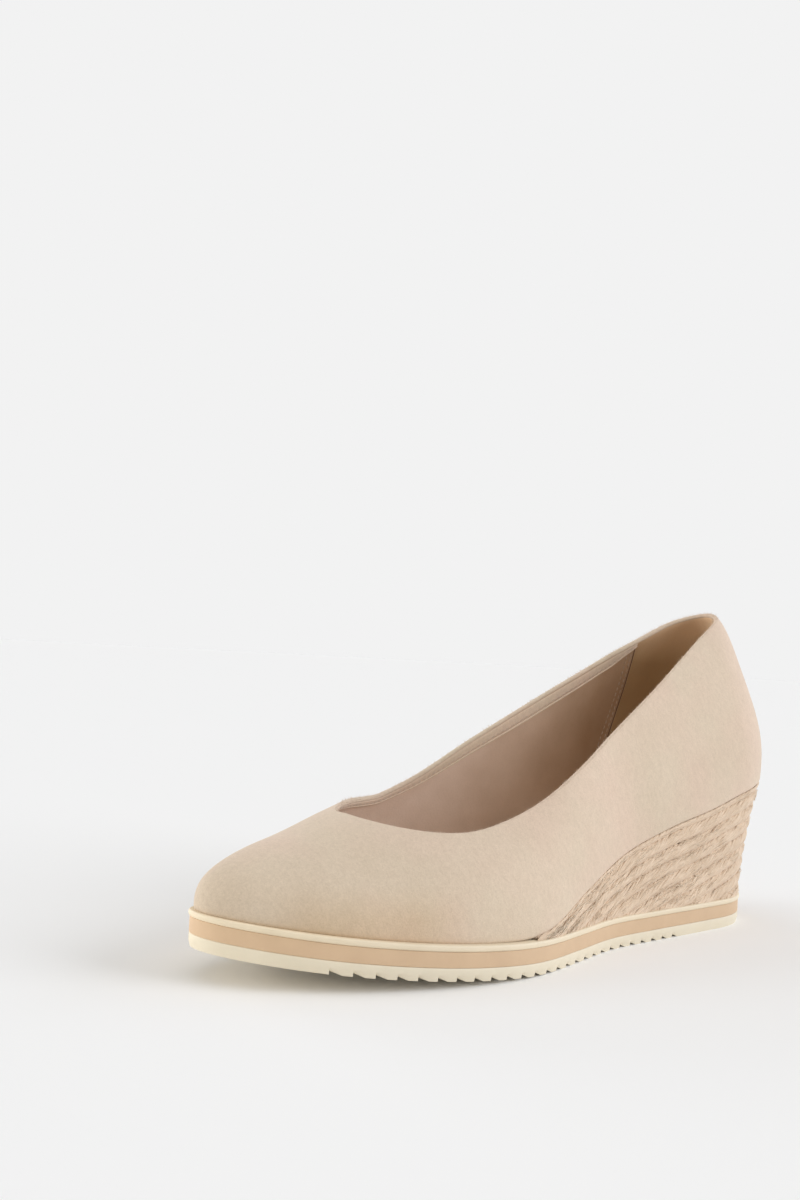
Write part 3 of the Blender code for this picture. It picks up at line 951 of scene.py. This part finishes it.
# Counter lining round the inside of the heel: its front edge, as u at some shares of the height
COUNTER_SHARES = (0.0, 0.26, 0.57, 0.85, 1.0)
COUNTER_FRONT = (0.240, 0.199, 0.170, 0.171, 0.181)
COUNTER_THICK = 0.00032
COUNTER_ROWS = 50
COUNTER_COLUMNS = 160
EDGE_DIVE = 1.5  # share of its thickness that it loses at its front edge
EDGE_FALL = 50  # and the power with which it does
TOP_DIVE = 0.9  # the same under the top edge
TOP_FALL = 60


def counter_point(across, share, proud):
    """A point of the counter lining. across runs from -1 at its inner to 1 at its outer edge."""
    u = through(COUNTER_SHARES, COUNTER_FRONT, share) * across ** 2
    outside = on_wall(OUTSIDE, u, across, share)
    return outside - on_wall(OUTSIDE_NORMALS, u, across, share) * np.asarray(WALL + proud)[..., None]


def make_counter_lining():
    across, share = np.meshgrid(
        np.linspace(-1.0, 1.0, COUNTER_COLUMNS + 1),
        np.linspace(0.0, 1.0, COUNTER_ROWS + 1),
        indexing="ij",
    )
    front = 1 - EDGE_DIVE * np.abs(across) ** EDGE_FALL
    top = 1 - TOP_DIVE * share ** TOP_FALL
    build = Builder()
    build.grid(counter_point(across, share, COUNTER_THICK * front * top))
    place("counter_lining", build, COUNTER_LEATHER, "lining")


STITCH = 0.0016  # length of a stitch that shows
STITCH_GAP = 0.0007
STITCH_WIDTH = 0.00038
STITCH_RINGS = 6
STITCH_SIDES = 6
STITCH_END = 0.03  # what is left of a stitch's section at its ends, as a share


def add_stitches(build, path, up):
    """Small raised stitches along a path. up points out of the surface at each point."""
    way = travelled(path)
    pitch = STITCH + STITCH_GAP
    for k in range(int(way[-1] / pitch)):
        share = np.linspace(-1.0, 1.0, STITCH_RINGS + 1)
        at = (k + 0.5) * pitch + share * STITCH / 2
        centre = read_at(way, path, at)
        lift = read_at(way, up, at)
        tangent = centre[-1] - centre[0]
        across = np.cross(tangent / np.linalg.norm(tangent), lift)
        size = (np.sqrt(np.maximum(STITCH_END, 1 - share ** 2)) * STITCH_WIDTH / 2)[:, None, None]
        angle = (2 * math.pi * np.arange(STITCH_SIDES) / STITCH_SIDES)[None, :, None]
        ring = across[:, None] * np.cos(angle) + lift[:, None] * np.sin(angle)
        build.ring(centre[:, None] + ring * size)


FACING_SEAM = 0.80  # share of the facing's width where its stitches run
COUNTER_SEAMS = (1.02, 1.05)  # places of the two rows of stitches, just ahead of the counter lining
SEAM_ENDS = (0.05, 0.93)  # shares of the wall's height where they start and end
SEAM_PLACES = 120
SEAM_PROUD = 0.00005
SEAM_WIDTH = 0.00045  # painted shade: a dark line along the counter lining's front edge
SEAM_DEPTH = 0.00030
SEAM_RINGS = 160
SEAM_SIDES = 6
REACH = 0.001  # how far off a wall its outward way is measured


def counter_line(across, count, proud):
    """A line up the wall beside the counter lining, and the ways off the wall."""
    share = np.linspace(*SEAM_ENDS, count)
    low = counter_point(across, share, proud)
    return low, unit(counter_point(across, share, REACH) - low)


# Painted shade: a dark line where the counter lining's front edge turns away from the light
def make_counter_seam():
    build = Builder()
    for side in (-1.0, 1.0):
        path, up = counter_line(side, SEAM_RINGS, SEAM_DEPTH / 4)
        tube(build, path, up, SEAM_WIDTH, SEAM_DEPTH, SEAM_SIDES, 0.0)
    place("counter_seam_painted_shade", build, SEAM_PAINTED_SHADE, "lining", recalculate=False)


def make_stitches():
    build = Builder()
    low, high = inside_rows([(FACING * FACING_SEAM, FACING_PROUD), (FACING * FACING_SEAM, REACH)])
    for start, end in runs(TOP_U > FACING_END + FACING_DIVE):
        add_stitches(build, low[start:end], unit(high - low)[start:end])
    for seam in COUNTER_SEAMS:
        for side in (-1.0, 1.0):
            add_stitches(build, *counter_line(side * seam, SEAM_PLACES, SEAM_PROUD))
    place("lining_stitches", build, THREAD, "lining", recalculate=False)


# Closed seam down the inner side: its place, as u at some shares of the height
SIDE_SEAM_SHARES = (0.0, 0.5, 1.0)
SIDE_SEAM_PLACES = (0.445, 0.458, 0.490)
SIDE_SEAM_WIDTH = 0.00042
SIDE_SEAM_DEPTH = 0.00030


def make_side_seam():
    """The narrow shaded line where the two panels of the upper meet on the inner side."""
    share = np.linspace(0.0, 1.0, SEAM_RINGS)
    u = through(SIDE_SEAM_SHARES, SIDE_SEAM_PLACES, share)
    normal = on_wall(OUTSIDE_NORMALS, u, -1.0, share)
    path = on_wall(OUTSIDE, u, -1.0, share) - normal * SIDE_SEAM_DEPTH / 3
    build = Builder()
    tube(build, path, unit(normal), SIDE_SEAM_WIDTH, SIDE_SEAM_DEPTH, SEAM_SIDES, 0.0)
    place("side_seam_painted_shade", build, SEAM_PAINTED_SHADE, "suede", recalculate=False)


FUZZ_SEED = 3
FUZZ_COUNT = 2600
FUZZ_LENGTH = 0.00085
FUZZ_LENGTHS = (0.4, 1.2)  # shares of that length
FUZZ_WIDTH = 0.00011
FUZZ_POINT = 4  # a fibre is this many times as thin at its tip
FUZZ_ANGLES = (0.1, math.pi * 0.9)
FUZZ_LEAN = 0.8  # how much the fibres lean along the edge
FUZZ_MESS = 0.25  # and to any side


def make_fuzz():
    """Tiny fibres of the nap that stand up along the folded top edge."""
    rng = np.random.default_rng(FUZZ_SEED)
    spot = rng.integers(0, len(TOP_POINTS), FUZZ_COUNT)
    angle = rng.uniform(*FUZZ_ANGLES, FUZZ_COUNT)[:, None]
    heading = TOP_UPWARD[spot] * np.sin(angle) + TOP_NORMALS[spot] * np.cos(angle)
    root = on_fold(angle, spot)
    beside = unit(np.roll(TOP_POINTS, -1, axis=0) - TOP_POINTS)[spot]
    lean = rng.normal(0.0, FUZZ_LEAN, (FUZZ_COUNT, 1)) * beside
    lean = lean + rng.normal(0.0, FUZZ_MESS, (FUZZ_COUNT, 3))
    length = FUZZ_LENGTH * rng.uniform(*FUZZ_LENGTHS, (FUZZ_COUNT, 1))
    tip = root + unit(heading + lean) * length
    root = root - heading * FUZZ_WIDTH
    third = np.cross(heading, beside)
    turns = [2 * math.pi * k / 3 for k in range(3)]
    sides = np.stack([beside * math.cos(turn) + third * math.sin(turn) for turn in turns], 1)
    feet = root[:, None] + sides * FUZZ_WIDTH / 2
    tips = tip[:, None] + sides * FUZZ_WIDTH / 2 / FUZZ_POINT
    build = Builder()
    for fibre in zip(feet, tips):
        build.ring(np.stack(fibre))
    place("suede_fuzz", build, SUEDE, "suede", merge=FINE_MERGE, recalculate=False)


make_upper()
make_facing()
make_lining()
make_counter_lining()
make_counter_seam()
make_stitches()
make_side_seam()
make_fuzz()


# Sock on the insole

SOCK_STATIONS = 160
SOCK_ROUND = INSOLE / 3
SOCK_STEPS = 4
SOCK_SHARP = 50  # degrees from which an edge is drawn sharp


def make_sock():
    u, side = around(evenly(0.0, 1.0, SOCK_STATIONS, edge_paths))
    plan = edge(u, side)
    normal = outward(plan)
    bottom = WALL + CLEAR
    profile = [(0.0, bottom)]
    for inward, down in reversed(quarter(SOCK_STEPS)):
        profile.append((-SOCK_ROUND * inward, bottom + INSOLE - SOCK_ROUND * down))
    build = closed_build(rings(plan - normal * (WALL + INSOLE_GAP), normal, profile, seat))
    place("sock", build, SOCK_LEATHER, "sock", replaced=("insole",), sharp=SOCK_SHARP)


make_sock()


# Sole layers. Here they are glued: each fills half of the gap to its neighbour

JOINT = CLEAR / 2
MIDSOLE_BOTTOM = OUTSOLE + JOINT
WELT_BOTTOM = MIDSOLE_BOTTOM + MIDSOLE + CLEAR
MIDSOLE_ROUND = EDGE_ROLL / 3
WELT_ROUND = WELT * 0.42
LAYER_STATIONS = 150
ROUND_STEPS = 6
LAYER_SHARP = 40
TREAD_SHARP = 30


def make_layer(name, bottom, thickness, lip, radius, material, slot, replaced):
    """A layer of the sole with round edges. lip is how far it stands out."""
    u, side = around(evenly(0.0, 1.0, LAYER_STATIONS, sole_paths))
    plan = sole_edge(u, side)
    turn = quarter(ROUND_STEPS)
    profile = [(lip - radius * inward, bottom + thickness - radius * down) for inward, down in turn]
    profile.append((lip, bottom + thickness / 2))
    profile += [(lip - radius * inward, bottom + radius * up) for inward, up in reversed(turn)]
    build = closed_build(rings(plan, outward(plan), profile, floor_line))
    place(name, build, material, slot, replaced=replaced, sharp=LAYER_SHARP)


make_layer(
    "midsole_band", MIDSOLE_BOTTOM, MIDSOLE + CLEAR, 0.0, MIDSOLE_ROUND,
    MIDSOLE_RUBBER, "midsole", ("midsole",),
)
make_layer(
    "welt_strip", WELT_BOTTOM, WELT + CLEAR, WELT_LIP, WELT_ROUND,
    WELT_RUBBER, "welt", ("welt",),
)

HEEL_STATIONS = 60
TOE_STATIONS = 46


def tread_stations():
    """u and lift along the outsole. A tooth's step has two entries at one u."""
    length = LENGTH + TOE_LEDGE - HEEL_SET_IN
    count = int((TREAD_FRONT - TREAD_BACK) * LENGTH / TOOTH_PITCH) + 1
    teeth = []
    for k in range(count):
        step = TREAD_FRONT * LENGTH - (count - 1 - k) * TOOTH_PITCH
        teeth.append((step - TOOTH_RAMP * TOOTH_PITCH, 0.0))
        teeth.append((step - TOOTH_RAMP * TOOTH_PITCH / 2, TOOTH_DEPTH / 2))
        teeth.append((step, TOOTH_DEPTH))
        teeth.append((step, 0.0))
        teeth.append((step + (1 - TOOTH_RAMP) * TOOTH_PITCH / 2, 0.0))
    teeth = np.array(teeth[:-1])
    teeth[:, 0] = (teeth[:, 0] - HEEL_SET_IN) / length
    back = evenly(0.0, teeth[0, 0], HEEL_STATIONS, sole_paths)[:-1]
    front = evenly(teeth[-1, 0], 1.0, TOE_STATIONS, sole_paths)[1:]
    u = np.concatenate([back, teeth[:, 0], front])
    lift = np.concatenate([0 * back, teeth[:, 1], 0 * front])
    return u, lift


def make_outsole():
    stations, lifts = tread_stations()
    u, side = around(stations)
    lift = np.concatenate([lifts, lifts[-2:0:-1]])
    plan = sole_edge(u, side)
    ahead = sole_edge(np.clip(u + SLOPE_STEP, 0, 1), side) - sole_edge(np.clip(u - SLOPE_STEP, 0, 1), side)
    normal = np.stack([side * ahead[:, 1], -side * ahead[:, 0]], -1)
    normal[(u <= 0) | (u >= 1)] = (0.0, 1.0)
    normal[u <= 0] *= -1
    normal = unit(normal)
    ground = floor_line(plan[:, 1])
    share = np.maximum(0.0, 1 - (plan[:, 1] - HEEL_SET_IN) / HEEL_BEVEL)
    bevel = HEEL_BEVEL_RISE * share ** 2
    rows = []
    for inward, down in quarter(ROUND_STEPS):
        spot = plan - normal * EDGE_ROLL * inward
        rows.append(np.column_stack([spot, ground + OUTSOLE + JOINT - EDGE_ROLL * down]))
    rows.append(np.column_stack([plan, ground + TOOTH_DEPTH + DRAFT]))
    rows.append(np.column_stack([plan - normal * DRAFT, ground + lift + bevel]))
    build = closed_build(world(np.stack(rows)))
    place("outsole_tread", build, OUTSOLE_RUBBER, "outsole", replaced=("outsole",), sharp=TREAD_SHARP)


make_outsole()


# Wedge: core and plaits

HALVINGS = 40
WEDGE_STATIONS = 900
CORE_DEPTH = 0.0008  # the core lies this far behind the plaits' middle surface
CORE_COLUMNS = 260
CORE_ROWS = 16
CORE_SHARP = 40


def wedge_front():
    """u where the wedge has run down to its tip, found by halving."""
    low = 0.0
    high = 1.0
    for _ in range(HALVINGS):
        middle = (low + high) / 2
        if rise(np.array([middle]))[0] > WEDGE_TIP + CLEAR:
            low = middle
        else:
            high = middle
    return low


class Wedge:
    """The wedge's side, by the distance round its top edge from the inner tip and the depth."""

    def __init__(self):
        stations = evenly(0.0, wedge_front(), WEDGE_STATIONS, edge_paths)
        u = np.concatenate([stations[::-1], stations[1:]])
        side = np.concatenate([-np.ones(WEDGE_STATIONS + 1), np.ones(WEDGE_STATIONS)])
        top = edge(u, side)
        foot = sole_edge(u, side)
        tangent = unit(np.gradient(top, axis=0))
        normal = np.stack([-tangent[:, 1], tangent[:, 0]], -1)
        if normal[side > 0][:, 0].mean() < 0:
            normal = -normal
        self.top = top - normal * ROPE_INSET
        self.foot = foot - normal * ROPE_INSET
        self.normal = normal
        self.high = seat(self.top[:, 1]) - CLEAR
        self.height = self.high - floor_line(self.foot[:, 1]) - SOLE_HEIGHT - CLEAR
        self.way = travelled(top)
        self.length = self.way[-1]

    def read(self, values, way):
        return read_at(self.way, values, way)

    def point(self, way, depth, out):
        """x, s, z. out is the height off the surface."""
        height = self.read(self.height, way)
        drawn = 1 - (1 - np.clip(depth / height, 0.0, 1.0)) ** WEDGE_WAIST
        top = self.read(self.top, way)
        foot = self.read(self.foot, way)
        normal = self.read(self.normal, way)
        plan = top + (foot - top) * drawn[..., None] + normal * np.asarray(out)[..., None]
        return np.concatenate([plan, (self.read(self.high, way) - depth)[..., None]], -1)


WEDGE = Wedge()


def make_core():
    way = np.linspace(0.0, WEDGE.length, CORE_COLUMNS)
    height = WEDGE.read(WEDGE.height, way)
    shares = np.linspace(0.0, 1.0, CORE_ROWS)
    rows = world(np.stack([WEDGE.point(way, share * height, -CORE_DEPTH) for share in shares]))
    build = Builder()
    build.grid(rows)
    half = rows.shape[1] // 2
    for row in (rows[0], rows[-1]):
        build.grid(np.stack([row[:half], row[::-1][:half]], 1))
    build.grid(np.stack([rows[:, 0], rows[:, -1]], 1))
    place("wedge_core_painted_shade", build, CORE_PAINTED_SHADE, "jute", sharp=CORE_SHARP)


PLAIT_SEED = 7
PLIES = 14  # bundles of fibres in a row
PLY_LAY = 0.0228  # length in which a ply goes once round its row
PLY_WIDTH = 0.00108
PLY_THICK = 0.00086
PLY_SIDES = 8
PLY_STEP = 0.0008
PLY_TWIST = (2, 0.06, 500.0)  # yarns, their relief as a share, and their turn in radians a metre
ROW_SWING = 0.00215  # plies run this far to each side of the row's middle
ROW_BELLY = 0.00080  # and this far in and out
PLY_TURN = 0.97  # how sharply they turn back at its edge: 1 is to a point
TUCK = 0.0007  # the first row's plies stay this far below the wedge's top
TUCK_IN = 0.8  # a ply that would pass that line goes in by this share instead
SINK = 0.0014  # and the rows run on this far into the welt
ROW_OUT = 0.00020  # middle of a row, off the wedge's surface
LEAST_RINGS = 6  # shorter stretches of a ply are left out
MAP_START = 9.0  # each ply's map starts somewhere between 0 and this

# How plies stray from an even lay: how far, and the length of the waves in metres
ROW_STRAY = (0.00012, 0.060)
DRIFT_STRAY = (0.6, 0.050)
PHASE_STRAY = (0.17, 0.020)
SWING_STRAY = (0.06, 0.013)
OUT_STRAY = (0.00010, 0.010)
WIDTH_STRAY = (0.18, 0.017)
THICK_STRAY = (0.15, 0.014)
WAVE_SHARES = (1.0, 0.61, 0.37)
WAVE_SUM = 1.4  # brings the sum of the waves back to about the size 1


def stray(rng, way, size, wave):
    """A smooth random curve of about this size, with waves of about this length."""
    total = 0.0 * way
    for share in WAVE_SHARES:
        total += np.sin(2 * math.pi * way / (wave * share) + rng.uniform(0.0, 2 * math.pi)) * share
    return size * total / WAVE_SUM


def on_wedge(way, depth, out):
    """Points on the wedge's side and the ways out of it, in the frame."""
    plan = WEDGE.read(WEDGE.normal, way)
    normal = np.stack([plan[:, 0], -plan[:, 1], np.zeros(len(way))], -1)
    return world(WEDGE.point(way, depth, out)), normal


def make_row(row, middle, rng):
    """One row of jute round the wedge, of long plies that turn round its middle."""
    build = Builder()
    way = np.linspace(0.0, WEDGE.length, int(WEDGE.length / PLY_STEP))
    height = WEDGE.read(WEDGE.height, way)
    middle = middle + stray(rng, way, *ROW_STRAY)
    drift = rng.uniform(0.0, 2 * math.pi) + stray(rng, way, *DRIFT_STRAY)
    for ply in range(PLIES):
        lay = 2 * math.pi * (way / PLY_LAY + ply / PLIES)
        phase = lay + drift + stray(rng, way, *PHASE_STRAY)
        swing = ROW_SWING * (1 + stray(rng, way, *SWING_STRAY))
        depth = middle + swing * np.arcsin(PLY_TURN * np.sin(phase)) / math.asin(PLY_TURN)
        out = ROW_OUT + ROW_BELLY * np.cos(phase) + stray(rng, way, *OUT_STRAY)
        out -= np.maximum(TUCK - depth, 0.0) * TUCK_IN
        depth = np.maximum(depth, TUCK)
        width = PLY_WIDTH * (1 + stray(rng, way, *WIDTH_STRAY))
        thick = PLY_THICK * (1 + stray(rng, way, *THICK_STRAY))
        for start, end in runs(depth < height + SINK):
            if end - start > LEAST_RINGS:
                piece = slice(start, end)
                path, normal = on_wedge(way[piece], depth[piece], out[piece])
                size = (width[piece], thick[piece])
                tube(build, path, normal, *size, PLY_SIDES, rng.uniform(0.0, MAP_START), PLY_TWIST)
    if not build.points:
        return
    piece = place(f"jute_row_{row}", build, JUTE, "jute", recalculate=False)
    if row == 1:
        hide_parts("wedge")


def make_plaits():
    rng = np.random.default_rng(PLAIT_SEED)
    row = 1
    middle = FIRST_ROPE - ROPE_PITCH / 2
    while middle - ROW_SWING < WEDGE.height.max():
        make_row(row, middle, rng)
        row += 1
        middle += ROPE_PITCH


FIBRE_SEED = 11
FIBRE_COUNT = 700
FIBRE_LENGTH = 0.0100
FIBRE_WIDTH = 0.00018
FIBRE_RINGS = 12
FIBRE_SIDES = 4
FIBRE_LENGTHS = (0.3, 1.2)  # shares of the length
FIBRE_WIDTHS = (0.6, 1.6)  # shares of the width
FIBRE_TOP = 0.0006  # least depth under the wedge's top edge
FIBRE_ROOM = 0.0012  # least depth of the range that their middles lie in
FIBRE_SLANT = 0.0009
FIBRE_BEND = 0.0005
FIBRE_BEND_TURN = 4.0
FIBRE_LIFTS = (-0.0004, 0.0001)
FIBRE_WAVE = 0.0002  # waves off the plaits, and their number
FIBRE_WAVES = (3.0, 9.0)


def make_fibres():
    """Loose fibres that lie on the plaits, mostly along the rows."""
    rng = np.random.default_rng(FIBRE_SEED)
    build = Builder()
    share = np.linspace(-0.5, 0.5, FIBRE_RINGS)
    while build.count < FIBRE_COUNT * FIBRE_RINGS * FIBRE_SIDES:
        middle = rng.uniform(0.0, WEDGE.length)
        height = WEDGE.read(WEDGE.height, np.array([middle]))[0]
        depth = rng.uniform(FIBRE_TOP, max(height, FIBRE_ROOM)) + rng.normal(0.0, FIBRE_SLANT) * share
        depth = depth + rng.normal(0.0, FIBRE_BEND) * np.cos(share * FIBRE_BEND_TURN)
        way = middle + FIBRE_LENGTH * rng.uniform(*FIBRE_LENGTHS) * share
        if way[0] < 0 or way[-1] > WEDGE.length or depth.max() > height or depth.min() < 0:
            continue
        lift = ROW_OUT + ROW_BELLY + PLY_THICK / 2 + rng.uniform(*FIBRE_LIFTS)
        out = lift + FIBRE_WAVE * np.cos(share * rng.uniform(*FIBRE_WAVES))
        path, normal = on_wedge(way, depth, out)
        width = FIBRE_WIDTH * rng.uniform(*FIBRE_WIDTHS)
        tube(build, path, normal, width, width, FIBRE_SIDES, rng.uniform(0.0, MAP_START))
    place("jute_fibres", build, FIBRE, "jute", merge=FINE_MERGE, recalculate=False)


make_core()
make_plaits()
make_fibres()


# Floor, light and camera

FLOOR_SIZE = 40.0
FLOOR_FINISH = {"Roughness": 0.9, "Specular IOR Level": 0.0}
BACKDROP_TONE = 0.888
WORLD_LIGHT = 0.48
DISC_PLACES = 201  # places across a light's disc at which it is measured

# Lights: name, azimuth, elevation, strength, spread, colour, with angles in degrees
LIGHTS = (
    ("right", 128.0, 24.0, 1.62, 40.0, (0.975, 1.00, 1.08)),
    ("top", 60.0, 75.0, 0.35, 60.0, (1.0, 1.0, 1.0)),
    ("left", -30.0, 8.0, 1.90, 40.0, (1.0, 1.0, 1.0)),
    ("toe", -76.0, 6.0, 1.12, 40.0, (1.0, 1.0, 1.04)),
    ("heel", 168.0, 18.0, 0.50, 44.0, (0.84, 1.00, 1.22)),
)


def direction(azimuth, elevation):
    """Way from the shoe to a light or the camera. Azimuth 0 is the toe's side, 90 the outer side."""
    a = math.radians(azimuth)
    e = math.radians(elevation)
    return Vector((math.sin(a) * math.cos(e), -math.cos(a) * math.cos(e), math.sin(e)))


def add_object(name, data):
    thing = bpy.data.objects.new(name, data)
    bpy.context.scene.collection.objects.link(thing)
    return thing


def floor_share(elevation, spread):
    """Share of a light that falls on the floor, also where part of its disc is below it."""
    places = np.linspace(-1.0, 1.0, DISC_PLACES)
    weights = np.sqrt(1 - places ** 2)
    turns = np.radians(spread / 2 * places)
    heights = np.sin(math.radians(elevation) + turns)
    return float((weights * np.maximum(heights, 0.0)).sum() / (weights * np.cos(turns)).sum())


def floor_tone():
    """The floor's own colour, so that where it is lit it is as pale as the backdrop."""
    light = np.full(3, WORLD_LIGHT)
    for _, _, elevation, strength, spread, colour in LIGHTS:
        light += strength * floor_share(elevation, spread) / math.pi * np.array(colour)
    return tuple(float(share) for share in BACKDROP_TONE / light)


def make_floor():
    mesh = bpy.data.meshes.new("floor")
    size = FLOOR_SIZE / 2
    corners = [(-size, -size, 0), (size, -size, 0), (size, size, 0), (-size, size, 0)]
    mesh.from_pydata(corners, [], [(0, 1, 2, 3)])
    mesh.materials.append(new_material("floor", floor_tone(), FLOOR_FINISH))
    floor = add_object("floor", mesh)


def make_world():
    """An even pale studio: a soft light from all sides, and a backdrop as pale as the floor."""
    studio = bpy.data.worlds.new("studio")
    bpy.context.scene.world = studio
    studio.use_nodes = True
    tree = studio.node_tree
    light = tree.nodes["Background"]
    light.inputs["Color"].default_value = (1.0, 1.0, 1.0, 1)
    light.inputs["Strength"].default_value = WORLD_LIGHT
    backdrop = tree.nodes.new("ShaderNodeBackground")
    backdrop.inputs["Color"].default_value = (BACKDROP_TONE, BACKDROP_TONE, BACKDROP_TONE, 1)
    path = tree.nodes.new("ShaderNodeLightPath")
    either = tree.nodes.new("ShaderNodeMixShader")
    tree.links.new(path.outputs["Is Camera Ray"], either.inputs[0])
    tree.links.new(light.outputs[0], either.inputs[1])
    tree.links.new(backdrop.outputs[0], either.inputs[2])
    tree.links.new(either.outputs[0], tree.nodes["World Output"].inputs["Surface"])


def make_sun(name, azimuth, elevation, strength, spread, colour):
    """A wide soft light from far off."""
    data = bpy.data.lights.new(name, "SUN")
    data.energy = strength
    data.angle = math.radians(spread)
    data.color = colour
    lamp = add_object(name, data)
    lamp.rotation_mode = "QUATERNION"
    lamp.rotation_quaternion = direction(azimuth, elevation).to_track_quat("Z", "Y")


def make_camera():
    back = direction(CAMERA_AZIMUTH, CAMERA_ELEVATION)
    right = direction(CAMERA_AZIMUTH + 90, 0.0)
    up = back.cross(right)
    roll = math.radians(CAMERA_ROLL)
    rolled_right = right * math.cos(roll) + up * math.sin(roll)
    rolled_up = up * math.cos(roll) - right * math.sin(roll)
    target = Vector((SHIFT_X, SHIFT_S - LENGTH / 2, CAMERA_TARGET_HEIGHT))
    spot = target + back * CAMERA_DISTANCE + rolled_right * CAMERA_RIGHT + rolled_up * CAMERA_UP
    data = bpy.data.cameras.new("camera")
    data.sensor_fit = "AUTO"
    data.sensor_width = CAMERA_SENSOR
    data.lens = CAMERA_LENS
    data.clip_start = CAMERA_NEAR
    camera = add_object("camera", data)
    turn = Matrix((rolled_right, rolled_up, back)).transposed().to_4x4()
    camera.matrix_world = Matrix.Translation(spot) @ turn
    bpy.context.scene.camera = camera


make_floor()
make_world()
for light in LIGHTS:
    make_sun(*light)
make_camera()
bpy.context.scene.view_settings.view_transform = "Standard"
